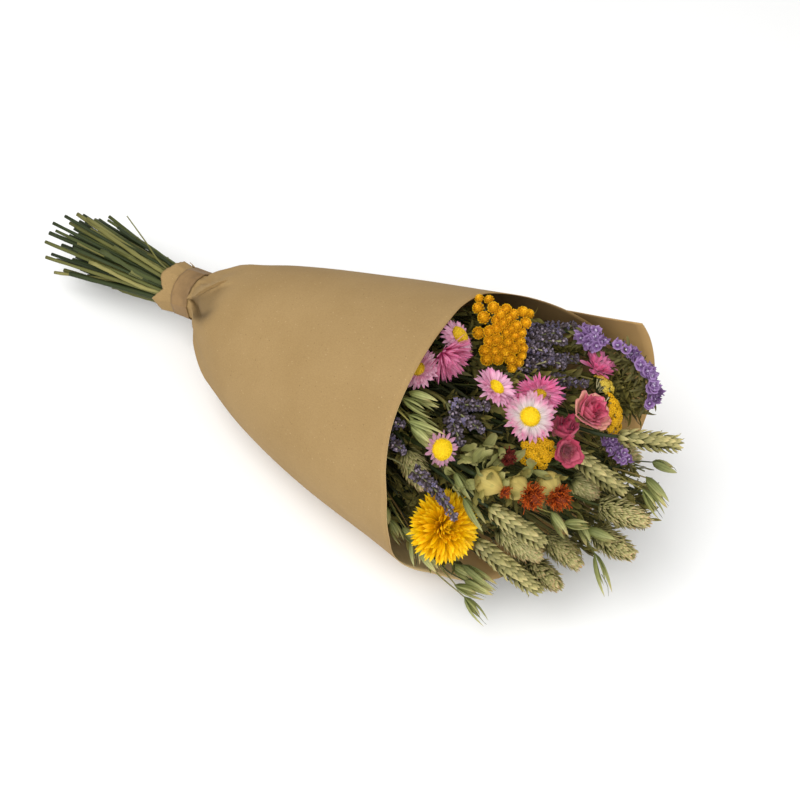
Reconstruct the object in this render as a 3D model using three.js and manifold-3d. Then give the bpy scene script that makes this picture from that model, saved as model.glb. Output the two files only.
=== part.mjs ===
import * as THREE from 'three';
import Module from 'manifold-3d';

const wasm = await Module();
wasm.setup();
const { Manifold, Mesh: SolidMesh } = wasm;

// Frame in mm: origin under the wrap, +X from the cut stems to the flowers, +Z up.
const TILT = THREE.MathUtils.degToRad(10);
const V = (x, y, z) => new THREE.Vector3(x, y, z);
const NECK = V(-212, 0, 50);
const ALONG = V(Math.cos(TILT), 0, Math.sin(TILT));
const LIFT = V(-Math.sin(TILT), 0, Math.cos(TILT));
// Directions at the mouth: out of it towards the viewer, to the right and upwards.
const FRONT = V(0.40, -0.53, 0.74).normalize();
const RIGHT = V(0.80, 0.60, 0);
const RISE = V().crossVectors(FRONT, RIGHT).normalize();

const along = (s, side, lift) =>
  NECK.clone().addScaledVector(ALONG, s).add(V(0, side, 0)).addScaledVector(LIFT, lift);
const local = (p) => {
  const q = p.clone().sub(NECK);
  return [q.dot(ALONG), q.y, q.dot(LIFT)];
};
const facing = (f, r, u) =>
  FRONT.clone().multiplyScalar(f).addScaledVector(RIGHT, r).addScaledVector(RISE, u).normalize();

function seeded(seed) {
  let a = seed;
  return () => {
    a = (a + 0x6d2b79f5) | 0;
    let t = Math.imul(a ^ (a >>> 15), 1 | a);
    t = (t + Math.imul(t ^ (t >>> 7), 61 | t)) ^ t;
    return ((t ^ (t >>> 14)) >>> 0) / 4294967296;
  };
}

function between(table, x, column = 1) {
  if (x <= table[0][0]) return table[0][column];
  for (let i = 1; i < table.length; i++) {
    const [a, b] = [table[i - 1], table[i]];
    if (x <= b[0]) return a[column] + (b[column] - a[column]) * (x - a[0]) / (b[0] - a[0]);
  }
  return table[table.length - 1][column];
}

// Solids
function solid(points, faces) {
  const vertProperties = new Float32Array(points.flatMap((p) => [p.x, p.y, p.z]));
  const triVerts = new Uint32Array(faces.flat());
  return new Manifold(new SolidMesh({ numProp: 3, vertProperties, triVerts }));
}

function placed(body, origin, direction, roll = 0, size = 1) {
  const z = direction.clone().normalize();
  const x = Math.abs(z.z) > 0.95 ? V(1, 0, 0) : V(0, 0, 1);
  x.addScaledVector(z, -x.dot(z)).normalize();
  const y = V().crossVectors(z, x);
  const matrix = new THREE.Matrix4().makeBasis(x, y, z);
  matrix.multiply(new THREE.Matrix4().makeRotationZ(roll));
  matrix.scale(V(size, size, size));
  matrix.setPosition(origin);
  return body.transform(matrix.elements);
}

const fused = (bodies) => {
  const whole = Manifold.union(bodies);
  const parts = whole.decompose();
  parts.sort((a, b) => b.volume() - a.volume());
  return parts[0];
};

// A body of rings round z: profile rows are [radius, z], first and last on the axis.
function turned(profile, sides, bump = () => 0) {
  const points = [V(0, 0, profile[0][1])];
  const rings = profile.slice(1, -1);
  rings.forEach(([r, z], k) => {
    for (let i = 0; i < sides; i++) {
      const a = (i + 0.5 * (k % 2)) * 2 * Math.PI / sides;
      const d = bump(k, i);
      points.push(V((r + d) * Math.cos(a), (r + d) * Math.sin(a), z + d));
    }
  });
  points.push(V(0, 0, profile[profile.length - 1][1]));
  const last = points.length - 1;
  const faces = [];
  for (let i = 0; i < sides; i++) {
    const j = (i + 1) % sides;
    faces.push([0, 1 + j, 1 + i]);
    for (let k = 0; k + 1 < rings.length; k++) {
      const a = 1 + k * sides;
      const b = a + sides;
      if (k % 2 === 0) {
        faces.push([a + i, a + j, b + i], [a + j, b + j, b + i]);
      } else {
        faces.push([a + i, b + j, b + i], [a + i, a + j, b + j]);
      }
    }
    const top = 1 + (rings.length - 1) * sides;
    faces.push([top + i, top + j, last]);
  }
  return solid(points, faces);
}

// A pointed grain, scale or floret that starts at its root and grows along z.
function grain(length, wide, thick, sides = 4, belly = 0.4) {
  const points = [V(0, 0, 0)];
  for (let i = 0; i < sides; i++) {
    const a = i * 2 * Math.PI / sides;
    points.push(V(wide * Math.cos(a), thick * Math.sin(a), belly * length));
  }
  points.push(V(0, 0, length));
  const faces = [];
  for (let i = 0; i < sides; i++) {
    const j = (i + 1) % sides;
    faces.push([0, 1 + j, 1 + i], [1 + i, 1 + j, sides + 1]);
  }
  return solid(points, faces);
}

// A ring of petals on one hub. Odd petals follow the second shape, shorter and higher.
function petals(count, hub, mid, tip, wide, rises, thick, seed = 1, turn = 0) {
  const random = seeded(seed);
  const upper = [V(0, 0, 0)];
  const lower = [V(0, 0, -thick)];
  const put = (r, a, rise, wave = 0) => {
    const d = (rise(r + 0.05) - rise(r - 0.05)) / 0.1;
    const n = Math.hypot(1, d);
    upper.push(V(r * Math.cos(a), r * Math.sin(a), rise(r) + wave));
    const q = r + thick * d / n;
    lower.push(V(q * Math.cos(a), q * Math.sin(a), rise(r) - thick / n + wave));
  };
  for (let i = 0; i < count; i++) {
    const a = turn + i * 2 * Math.PI / count;
    const odd = i % 2;
    const rise = rises[odd];
    const long = tip * (odd ? 0.84 : 1) * (0.93 + 0.14 * random());
    const wave = 0.06 * tip * (random() - 0.5);
    const half = Math.min(Math.atan2(wide, mid), 0.93 * Math.PI / count);
    put(hub, a - Math.PI / count, rises[0]);
    put(mid, a - half, rise, 0.3 * wave);
    put(long, a + 0.08 * (random() - 0.5), rise, wave);
    put(mid, a + half, rise, 0.3 * wave);
  }
  const points = upper.concat(lower);
  const under = upper.length;
  const faces = [];
  for (let i = 0; i < count; i++) {
    const b = 1 + i * 4;
    const next = 1 + ((i + 1) % count) * 4;
    const tops = [[0, b, next], [b, b + 1, b + 2], [b, b + 2, next], [next, b + 2, b + 3]];
    for (const [p, q, r] of tops) faces.push([p, q, r], [under + p, under + r, under + q]);
    const edge = [b, b + 1, b + 2, b + 3, next];
    for (let k = 0; k < 4; k++) {
      const [p, q] = [edge[k], edge[k + 1]];
      faces.push([p, under + p, under + q], [p, under + q, q]);
    }
  }
  return solid(points, faces);
}

// A closed tube along a path, with a radius at each point.
function tube(path, radii, sides = 5) {
  const points = [];
  const faces = [];
  path.forEach((p, k) => {
    const before = path[Math.max(k - 1, 0)];
    const after = path[Math.min(k + 1, path.length - 1)];
    const z = after.clone().sub(before).normalize();
    const x = Math.abs(z.z) > 0.9 ? V(1, 0, 0) : V(0, 0, 1);
    x.addScaledVector(z, -x.dot(z)).normalize();
    const y = V().crossVectors(z, x);
    for (let i = 0; i < sides; i++) {
      const a = i * 2 * Math.PI / sides;
      const c = radii[k] * Math.cos(a);
      const s = radii[k] * Math.sin(a);
      points.push(p.clone().addScaledVector(x, c).addScaledVector(y, s));
    }
  });
  for (let k = 0; k + 1 < path.length; k++) {
    for (let i = 0; i < sides; i++) {
      const j = (i + 1) % sides;
      const a = k * sides;
      const b = a + sides;
      faces.push([a + i, a + j, b + j], [a + i, b + j, b + i]);
    }
  }
  const end = (path.length - 1) * sides;
  for (let i = 1; i + 1 < sides; i++) {
    faces.push([0, i + 1, i], [end, end + i, end + i + 1]);
  }
  return solid(points, faces);
}

// Paper wrap: a sheet rolled round the bunch with a lap, gathered at the neck.
// Columns: distance from the neck, half width, half height, centre lift, centre side.
const CONE = [
  [-20, 23.2, 23.2, 6, 8.5], [-10, 21, 21, 4.5, 8], [-3, 19.4, 19.4, 4, 8], [19, 19.4, 19.4, 4, 8],
  [31, 27, 27, 3.5, 6], [48, 40, 39, 2, 1], [75, 56, 54, 0, -1.5], [120, 73, 69, -3, -4],
  [200, 93, 88, -6, -6], [270, 106, 100, -6, -7], [340, 120, 110, -6, -8],
  [400, 127, 118, -5, -5],
];
const knot = (s, side, lift) => along(s + 8, side + 8, lift + 4);
const MOUTH = [
  [-75, 345], [-63, 326], [-45, 300], [-30, 286], [-15, 288], [0, 293], [20, 297], [45, 300],
  [60, 305], [75, 311], [90, 311], [105, 306], [120, 303], [135, 306], [150, 325], [165, 341],
  [192, 356], [216, 366], [240, 376], [255, 380], [275, 382], [297, 382],
];
const PAPER = 1.2;
const LAP = 1.7;

function pleats(s, phi) {
  const collar = 1.6 * THREE.MathUtils.smoothstep(-s, 3, 18) * Math.cos(8 * phi + 0.6);
  const rays = THREE.MathUtils.smoothstep(s, 21, 36) * (1 - THREE.MathUtils.smoothstep(s, 54, 110));
  return collar + 1.3 * rays * Math.cos(6 * phi + 2.2);
}

function wrapPoint(s, degrees, inset) {
  const phi = THREE.MathUtils.degToRad(degrees);
  const [w, h, up, side] = [1, 2, 3, 4].map((column) => between(CONE, s, column));
  const lap = LAP * Math.min(Math.max((degrees - 255) / 30, 0), 1);
  const grow = lap + pleats(s, phi) - inset;
  const p = along(s, side - (w + grow) * Math.sin(phi), up + (h + grow) * Math.cos(phi));
  p.z = Math.max(p.z, inset);
  return p;
}

function paperWrap() {
  const columns = [];
  for (let d = -75; d < 300; d += 15) {
    if (d !== -60) columns.push(d);
    if (d === -75 || d === 285) columns.push(d + 12);
  }
  const fixed = [-20, -3, 19, 31, 48, 75, 120];
  const rows = fixed.length + 3;
  const grid = [0, PAPER].map((inset) => columns.map((d) => {
    const edge = between(MOUTH, d);
    const list = fixed.slice();
    list[0] += 4 * Math.cos(d * 0.12) - 3 * Math.sin(d * 0.05);
    for (let k = 1; k <= 3; k++) list.push(120 + (edge - 120) * k / 3);
    return list.map((s) => wrapPoint(s, d, inset));
  }));
  const points = grid.flat(2);
  const half = columns.length * rows;
  const at = (c, r) => c * rows + r;
  const faces = [];
  const wall = (p, q) => faces.push([p, half + q, q], [p, half + p, half + q]);
  for (let c = 0; c + 1 < columns.length; c++) {
    for (let r = 0; r + 1 < rows; r++) {
      const [a, b, d, e] = [at(c, r), at(c + 1, r), at(c + 1, r + 1), at(c, r + 1)];
      for (const [p, q, t] of [[a, b, d], [a, d, e]]) {
        faces.push([p, q, t], [half + p, half + t, half + q]);
      }
    }
    wall(at(c, 0), at(c + 1, 0));
    wall(at(c + 1, rows - 1), at(c, rows - 1));
  }
  for (let r = 0; r + 1 < rows; r++) {
    wall(at(0, r + 1), at(0, r));
    wall(at(columns.length - 1, r), at(columns.length - 1, r + 1));
  }
  return solid(points, faces);
}

function ringRound(from, to, inner, outer, sides) {
  const points = [];
  for (const [s, radius] of [[from, inner], [from, outer], [to, outer], [to, inner]]) {
    for (let i = 0; i < sides; i++) {
      const degrees = i * 360 / sides;
      const a = THREE.MathUtils.degToRad(degrees);
      const r = radius(degrees);
      points.push(knot(s, -r * Math.sin(a), r * Math.cos(a)));
    }
  }
  const faces = [];
  for (let k = 0; k < 4; k++) {
    for (let i = 0; i < sides; i++) {
      const j = (i + 1) % sides;
      const [a, b] = [k * sides, ((k + 1) % 4) * sides];
      faces.push([a + i, a + j, b + j], [a + i, b + j, b + i]);
    }
  }
  return solid(points, faces);
}

// Blooms, each grown along z from its root at the origin
const climb = (eye, k, bend = 0) => (r) => k * Math.max(r - eye, 0) + bend * Math.max(r - eye, 0) ** 2;

function halfClosed(radius, seed) {
  const rises = [climb(3, 0.9, 0.05), climb(3, 1.5, 0.12)];
  return petals(14, 3, 0.56 * radius, 0.72 * radius, 0.14 * radius, rises, 0.8, seed).translate([0, 0, 0.8]);
}

function disc(radius) {
  const bump = (k, i) => ((i + k) % 2 ? 0.3 : -0.3);
  const rings = [[0, 0], [0.85 * radius, 0.45], [0.9 * radius, 0.3 * radius], [0.5 * radius, 0.6 * radius],
    [0, 0.6 * radius]];
  return turned(rings, 10, bump);
}

function strawflower(radius, seed) {
  const R = radius;
  const low = petals(20, 0.3 * R, 0.84 * R, R, 0.13 * R, [climb(6, -0.02), climb(6, 0.25)], 0.8, seed);
  const high = petals(10, 0.2 * R, 0.52 * R, 0.68 * R, 0.12 * R, [climb(5, 0.5, 0.01), climb(4, 0.9, 0.02)],
    0.8, seed + 6);
  const eye = turned([[0, -0.3], [4, 0.2], [4.2, 2], [2.8, 3.8], [0, 4.4]], 8);
  return fused([low.translate([0, 0, 0.8]), high.translate([0, 0, 1.9]),
    turned([[0, 0.2], [4.5, 0.3], [4.5, 1.8], [0, 1.9]], 8), eye.translate([0, 0, 2])]);
}

// Cupped petals as a row of lips and hollows, each lip notched between its petals.
function rose(radius, seed, tall = 1) {
  const R = radius;
  const random = seeded(seed);
  const lips = [[0, 0], [0.42, 0.12], [0.86, 0.5], [1, 0.85], [0.72, 0.55], [0.76, 1], [0.46, 0.7],
    [0.48, 1.12], [0.22, 0.8], [0.2, 1.16], [0, 0.95]];
  const phases = lips.map(() => random() * 6);
  const wavy = [0, 0.02, 0.05, 0.1, 0.03, 0.07, 0.02, 0.06, 0.01, 0.03];
  const bump = (k, i) => wavy[k + 1] * R * Math.cos(i * 2 * Math.PI / 10 * 3 + phases[k]);
  return turned(lips.map(([r, z]) => [r * R, z * R * tall]), 10, bump);
}

// A head of small balls over a dome: across and deep are its half sizes.
function buttons(across, tall, count, ball, seed) {
  const random = seeded(seed);
  const height = (r) => 0.7 * across * Math.sqrt(1 - (r / (1.08 * across)) ** 2);
  const core = [[0, 0], [0.25 * across, 0.3], [0.72 * across, 0.42 * across], [0.45 * across, 0.62 * across],
    [0, 0.68 * across]];
  const bodies = [turned(core, 8).scale([tall, 1, 1])];
  const one = turned([[0, -ball], [ball, 0.1 * ball], [0, ball]], ball > 4 ? 6 : 4);
  for (let i = 0; i < count; i++) {
    const a = i * 2.39996;
    const r = 0.9 * across * Math.sqrt((i + 0.4) / count);
    const spun = one.rotate([0, 40 * r / across, 0]).rotate([0, 0, a * 180 / Math.PI + 8 * random()]);
    bodies.push(spun.translate([tall * r * Math.cos(a), r * Math.sin(a), height(r)]));
  }
  return fused(bodies);
}

// An ear or head of pointed scales in rows round a core: each row's tips stand out over
// the roots of the next row, and they change sides from row to row.
function scaly(rows, sides, rootRadius, tipRadius, length, seed, flat = 1, stalk = 0) {
  const random = seeded(seed);
  const step = (length - stalk) / (rows + 0.9);
  const rings = stalk ? [[0.8, 0.3, 0, false]] : [];
  for (let k = 0; k < rows; k++) {
    rings.push([rootRadius(k / rows), stalk + k * step + 0.3, k, false]);
    rings.push([tipRadius(k / rows), stalk + (k + 1.25) * step, k, true]);
  }
  const points = [V(0, 0, 0)];
  for (const [r, z, row, tips] of rings) {
    for (let i = 0; i < sides; i++) {
      const a = i * 2 * Math.PI / sides;
      const valley = tips && (i + row) % 2;
      const q = valley ? rootRadius(row / rows) * 1.25 : r * (tips ? 0.92 + 0.16 * random() : 1);
      points.push(V(q * Math.cos(a), flat * q * Math.sin(a), valley ? z - 0.8 * step : z));
    }
  }
  points.push(V(0, 0, length));
  const last = points.length - 1;
  const faces = [];
  for (let i = 0; i < sides; i++) {
    const j = (i + 1) % sides;
    faces.push([0, 1 + j, 1 + i]);
    for (let k = 0; k + 1 < rings.length; k++) {
      const [a, b] = [1 + k * sides, 1 + (k + 1) * sides];
      const tipAt = rings[k][3] ? (i + rings[k][2]) % 2 === 0 : (i + rings[k + 1][2]) % 2 === 1;
      if (tipAt) faces.push([a + i, b + j, b + i], [a + i, a + j, b + j]);
      else faces.push([a + i, a + j, b + i], [a + j, b + j, b + i]);
    }
    const top = 1 + (rings.length - 1) * sides;
    faces.push([top + i, top + j, last]);
  }
  return solid(points, faces);
}

function wheat(length, seed) {
  const swell = (t) => 0.75 + 0.35 * Math.sin(Math.PI * (0.12 + 0.8 * t));
  return scaly(8, 8, (t) => 3.4 * swell(t), (t) => 8.8 * swell(t), length, seed, 0.85);
}

function canaryGrass(length, width, seed) {
  const swell = (t) => Math.sin(Math.PI * (0.2 + 0.68 * t));
  return scaly(6, 8, (t) => 0.4 * width * swell(t), (t) => 0.62 * width * swell(t), length, seed);
}

function lavender(length, seed, stalk = 0) {
  return scaly(5, 6, () => 1.8, (t) => 6.6 - 2 * t, length, seed, 1, stalk);
}

// A crest of small funnel flowers along a curve, all on its outer side.
function statice(path, outward, count, seed, flower = 4.2) {
  const random = seeded(seed);
  const curve = new THREE.CatmullRomCurve3(path);
  const bodies = [tube(curve.getPoints(4), [1.2, 2, 2, 2, 1.2], 4)];
  const funnel = [[0, 0], [flower, 1.6 * flower], [0, 0.9 * flower]];
  for (let i = 0; i < count; i++) {
    const t = (i + 0.5) / count;
    const root = curve.getPoint(t);
    const across = V().crossVectors(curve.getTangent(t), outward).normalize();
    const swing = [-0.8, 0.05, 0.85][i % 3] + 0.2 * (random() - 0.5);
    const direction = outward.clone().addScaledVector(across, swing).normalize();
    const body = turned(funnel, 6, (k, j) => (j % 2 ? -0.12 : 0.12) * flower);
    bodies.push(placed(body, root.addScaledVector(direction, -1.2), direction, random() * 6));
  }
  return fused(bodies);
}

function oatGrain(length, wide) {
  return turned([[0, 0], [wide, 0.35 * length], [0.5 * wide, 0.75 * length], [0, length]], 5)
    .scale([1, 0.62, 1]);
}

// Oat spray: stalks in world places, each grain hangs from its stalk's end.
function oats(root, twigs, seed) {
  const random = seeded(seed);
  const bodies = [];
  for (const [bend, hang, tip] of twigs) {
    bodies.push(tube([root, bend, hang], [1, 0.8, 0.7], 3));
    const direction = tip.clone().sub(hang);
    const body = oatGrain(direction.length() + 1.5, 3.2);
    const start = hang.clone().addScaledVector(direction.clone().normalize(), -1.5);
    bodies.push(placed(body, start, direction, random() * 3));
  }
  return fused(bodies);
}

// Safflower bud with its leafy bracts, and the tuft of florets that stands over it
function bud(length, wide, leaves, seed) {
  const random = seeded(seed);
  const bodies = [turned([[0, 0], [0.7 * wide, 0.12 * length], [wide, 0.4 * length],
    [0.7 * wide, 0.75 * length], [0.3 * wide, 0.96 * length], [0, length]], 8)];
  for (let i = 0; i < leaves; i++) {
    const a = i * 2 * Math.PI / leaves + 0.4 * random();
    const out = V(Math.cos(a), Math.sin(a), 0);
    const direction = V(0, 0, 0.62).addScaledVector(out, 1);
    const body = grain(0.95 * length, 3.6, 0.9, 4, 0.5);
    bodies.push(placed(body, V(0, 0, 0.06 * length).addScaledVector(out, 1), direction, Math.PI / 2));
  }
  return fused(bodies);
}

function tuft(length, spread, seed) {
  const random = seeded(seed);
  const spikes = (k, i) => ((i + k) % 2 ? -0.9 - 0.6 * random() : 1.2 + random());
  const rings = [[0, 0], [2.2, 0.4], [0.5 * spread, 0.35 * length], [0.55 * spread, 0.6 * length],
    [0.35 * spread, 0.85 * length], [0, 0.75 * length]];
  return turned(rings, 12, (k, i) => (k ? spikes(k, i) : 0));
}

function leafSpray(length, leaves, seed) {
  const random = seeded(seed);
  const bodies = [tube([V(0, 0, 0), V(0, 0, 0.7 * length)], [1, 0.8], 4)];
  for (let i = 0; i < leaves; i++) {
    const z = 0.62 * length * i / (leaves - 1);
    const a = i * 2.6 + 0.5 * random();
    const direction = V(0, 0, 1).addScaledVector(V(Math.cos(a), Math.sin(a), 0), 1.1);
    bodies.push(placed(grain(0.62 * length, 4.4, 0.8, 4, 0.5), V(0, 0, z), direction, Math.PI / 2));
  }
  return fused(bodies);
}

// Collected nodes and the stem that each head grows on
const nodes = [];
const stalks = [];
const COLOURS = {
  paper: 0xb98f5c, tape: 0x9a7050, band: 0x7d5a3c, stem: 0x6f7646, pink: 0xe78bb4, rose: 0xc9506f,
  yellow: 0xe9b50c, gold: 0xf0b414, mustard: 0xd9970f, purple: 0x8a6cc4, grey_violet: 0x6d678f,
  grass: 0x9ea37a, bud: 0xb5ad66, orange: 0xc6641a, dark_red: 0x6d1a17, leaf: 0x7d7d45,
};
const P = (list) => V(...list);

function add(name, body, colour) {
  nodes.push([name, body, COLOURS[colour]]);
}

function head(name, body, colour, root, direction, stem = 1.3, flare = 0, bend = 26) {
  add(name, placed(body, P(root), direction), colour);
  stalks.push([P(root), direction, stem, flare, bend]);
}

function daisies(name, root, direction, radius, eye, slopes, seed, bend = 26) {
  const rises = [climb(eye, slopes[0]), climb(eye, slopes[1], 0.004)];
  const body = petals(18, eye, 0.78 * radius, radius, 0.15 * radius, rises, 0.8, seed);
  head(name, body.translate([0, 0, 0.8]), 'pink', root, direction, 1.3, 0, bend);
  const top = P(root).addScaledVector(direction, 1.2);
  add(name + '_disc', placed(disc(0.96 * eye), top, direction), 'yellow');
}

function reach(name, make, colour, root, tip, stem) {
  const direction = P(tip).sub(P(root));
  head(name, make(direction.length()), colour, root, direction.normalize(), stem, 0, 12);
}

// Everlasting daisies
daisies('daisy_front', [145, -25, 170], facing(1, 0.15, 0.3), 20, 7, [0.05, 0.3], 3);
daisies('daisy_upper', [115, -25, 180], facing(0.8, 0.5, 0.2), 16.5, 5, [0.1, 0.35], 5);
daisies('daisy_back', [65, 0, 180], facing(0.4, 0.5, 0.8), 15, 5.5, [-0.5, -0.1], 7);
daisies('daisy_rim', [58, -37, 173], facing(0.8, -0.3, 0.3), 17, 5, [0, 0.3], 11);
daisies('daisy_behind', [132, 12, 164], facing(0.35, 0, -0.8), 19, 5, [0.1, 0.4], 13, 10);
daisies('daisy_low', [105, -75, 155], facing(0.9, 0.45, -0.05), 15, 7.5, [0.1, 0.4], 17);
head('daisy_closing', halfClosed(22, 19), 'pink', [72, -18, 182], facing(0.5, 0.3, -0.8), 1.3, 0, 6);
head('daisy_small', halfClosed(14, 23), 'pink', [140, 75, 130], facing(0.7, 0.3, 0.6), 1.3);

// Strawflower, button and yarrow heads
head('strawflower', strawflower(28, 29), 'gold', [123, -95, 102], facing(0.85, 0.4, 0), 2, 4);
head('gold_buttons', buttons(21, 1.3, 24, 4.2, 31), 'mustard', [81, 30, 168], facing(1, 0, 0), 2, 3);
head('yarrow_front', buttons(12, 1.35, 12, 3.4, 37), 'mustard', [149, -17, 132], facing(1, -0.1, -0.2), 1.5, 3);
head('yarrow_side', buttons(13, 1, 11, 3.6, 41), 'mustard', [165, 48, 120], facing(0.25, 0.9, 0.1), 1.5, 3);
head('yarrow_small', buttons(9, 1, 6, 3, 43), 'mustard', [150, 66, 124], facing(0.3, 0.6, 0.6), 1.5, 2.5);

// Roses and their leaves
head('rose_open', rose(14, 47), 'rose', [160, 27, 137], facing(0.9, 0.25, 0.2), 2, 3.5);
head('rose_bud', rose(9.5, 53, 1.5), 'rose', [160, -2, 140], facing(0.6, -0.1, 0.8), 2, 3);
head('rose_small', rose(11, 59), 'rose', [168, -11, 138], facing(1, 0.3, -0.1), 2, 3);
head('rose_leaves', leafSpray(22, 5, 61), 'leaf', [143, 4, 140], facing(0.5, -0.3, 0.6), 1.3);

// Statice crests
function crest(name, path, outward, count, flower, seed) {
  const points = path.map(P);
  add(name, statice(points, outward, count, seed, flower), 'purple');
  const direction = points[1].clone().sub(points[0]).normalize();
  stalks.push([points[0], direction, 1.3, 0]);
}
crest('statice_upper', [[116, 90, 138], [128, 88, 144], [138, 82, 146]], facing(0.7, 0, 0.5), 5, 6.2, 67);
crest('statice_arc', [[144, 92, 142], [160, 88, 144], [174, 84, 141], [185, 78, 132], [186, 72, 122]],
  facing(0.4, 0.7, 0.4), 8, 6.8, 71);
crest('statice_low', [[174, 34, 114], [183, 36, 107], [194, 34, 100]], facing(1, 0, 0.3), 4, 4.8, 73);

// Lavender: spikes that share one root
function spikes(name, root, tips, seed) {
  const bodies = tips.map(([x, y, z, from], i) => {
    const way = V(x, y, z).sub(P(root));
    return placed(lavender(way.length(), seed + i, from), P(root), way, i);
  });
  add(name, fused(bodies), 'grey_violet');
  const mean = tips.reduce((sum, t) => sum.add(V(t[0], t[1], t[2])), V(0, 0, 0));
  const way = mean.multiplyScalar(1 / tips.length).sub(P(root)).normalize();
  stalks.push([P(root), way, 1.3, 0]);
}
spikes('lavender_back', [70, 60, 140], [[113, 88, 150, 14], [112, 68, 156, 12], [102, 52, 164, 12]], 79);
spikes('lavender_middle', [85, 35, 142], [[132, 62, 148, 14], [130, 46, 160, 10]], 83);
spikes('lavender_low', [95, 18, 146], [[124, 36, 164, 8], [150, 48, 144, 20], [142, 28, 142, 14]], 89);
spikes('lavender_left', [83, -38, 155], [[119, -36, 174, 8], [125, -52, 166, 10], [114, -62, 152, 12]], 97);
spikes('lavender_rim', [45, -75, 140], [[73, -74, 159, 6], [84, -88, 148, 8]], 101);
spikes('lavender_front', [55, -85, 125], [[135, -103, 128, 30]], 103);

// Safflower
function safflower(name, root, direction, length, wide, leaves, seed, plume) {
  head(name + '_bud', bud(length, wide, leaves, seed), 'bud', root, direction, 2.2, 3, 12);
  const top = P(root).addScaledVector(direction, length + 0.4);
  add(name + '_tuft', placed(tuft(...plume, seed + 1), top, direction), 'orange');
}
safflower('safflower_right', [163, -30, 124], facing(0.7, 0.4, -0.58), 20, 8.5, 5, 107, [13, 13]);
safflower('safflower_middle', [149, -52, 127], facing(0.7, 0.6, -0.33), 20, 8.5, 5, 109, [13, 13]);
safflower('safflower_left', [132, -66, 136], facing(0.5, 0.7, -0.4), 22, 9.5, 6, 113, [7, 6]);
head('safflower_red_tuft', tuft(9, 11, 127), 'dark_red', [140, -42, 140], facing(1, 0.1, 0), 2, 2);

// Wheat ears
reach('wheat_right', (l) => wheat(l, 131), 'grass', [186, 32, 126], [226, 62, 116], 1.5);
reach('wheat_middle', (l) => wheat(l, 137), 'grass', [165, 0, 125], [205, 20, 85], 1.5);
reach('wheat_centre', (l) => wheat(l, 139), 'grass', [145, -72, 118], [182, -50, 78], 1.5);
reach('wheat_front', (l) => wheat(l, 149), 'grass', [140, -79, 81], [190, -64, 41], 1.5);

// Canary grass heads
reach('canary_grass_1', (l) => canaryGrass(l, 16, 151), 'grass', [148, -60, 84], [176, -46, 54], 1.2);
reach('canary_grass_2', (l) => canaryGrass(l, 17, 157), 'grass', [195, 0, 85], [235, 5, 90], 1.2);
reach('canary_grass_3', (l) => canaryGrass(l, 16, 163), 'grass', [200, -10, 65], [235, -12, 68], 1.2);
reach('canary_grass_4', (l) => canaryGrass(l, 15, 167), 'grass', [170, -30, 60], [205, -35, 55], 1.2);
reach('canary_grass_5', (l) => canaryGrass(l, 15, 173), 'grass', [165, -45, 42], [200, -55, 48], 1.2);
reach('canary_grass_6', (l) => canaryGrass(l, 14, 179), 'grass', [75, -75, 132], [100, -85, 115], 1.2);
reach('canary_grass_7', (l) => canaryGrass(l, 14, 181), 'grass', [167, 4, 90], [185, 15, 75], 1.2);
reach('canary_grass_8', (l) => canaryGrass(l, 15, 185), 'grass', [155, 52, 76], [190, 68, 70], 1.2);

// Oat sprays
function spray(name, root, twigs, seed) {
  add(name, oats(P(root), twigs.map((twig) => twig.map(P)), seed), 'grass');
  const way = P(twigs[0][0]).sub(P(root)).normalize();
  stalks.push([P(root).addScaledVector(way, -0.7), way, 1.1, 0]);
}
spray('oats_right', [187, 28, 95], [
  [[200, 28, 100], [215, 30, 102], [240, 20, 98]], [[200, 22, 98], [218, 21, 99], [240, 13, 91]],
  [[195, 45, 92], [205, 58, 86], [218, 72, 72]]], 191);
spray('oats_hanging', [175, -15, 80], [
  [[195, -25, 82], [213, -32, 74], [236, -48, 60]], [[182, -18, 82], [190, -18, 82], [205, -28, 74]],
  [[186, -14, 84], [198, -20, 80], [220, -16, 78]]], 193);
spray('oats_front', [95, -85, 60], [
  [[110, -85, 52], [125, -84, 46], [146, -84, 42]], [[112, -90, 50], [136, -95, 42], [158, -88, 38]],
  [[112, -95, 48], [148, -100, 42], [170, -104, 32]]], 197);
spray('oats_left', [40, -55, 155], [
  [[55, -60, 166], [65, -65, 172], [90, -62, 168]], [[55, -64, 162], [75, -71, 166], [99, -69, 164]],
  [[52, -60, 164], [66, -58, 173], [90, -56, 174]]], 199);
spray('oats_middle', [90, -66, 138], [
  [[105, -72, 138], [118, -75, 138], [138, -80, 128]],
  [[112, -78, 136], [134, -86, 132], [150, -82, 106]]], 211);

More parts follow.
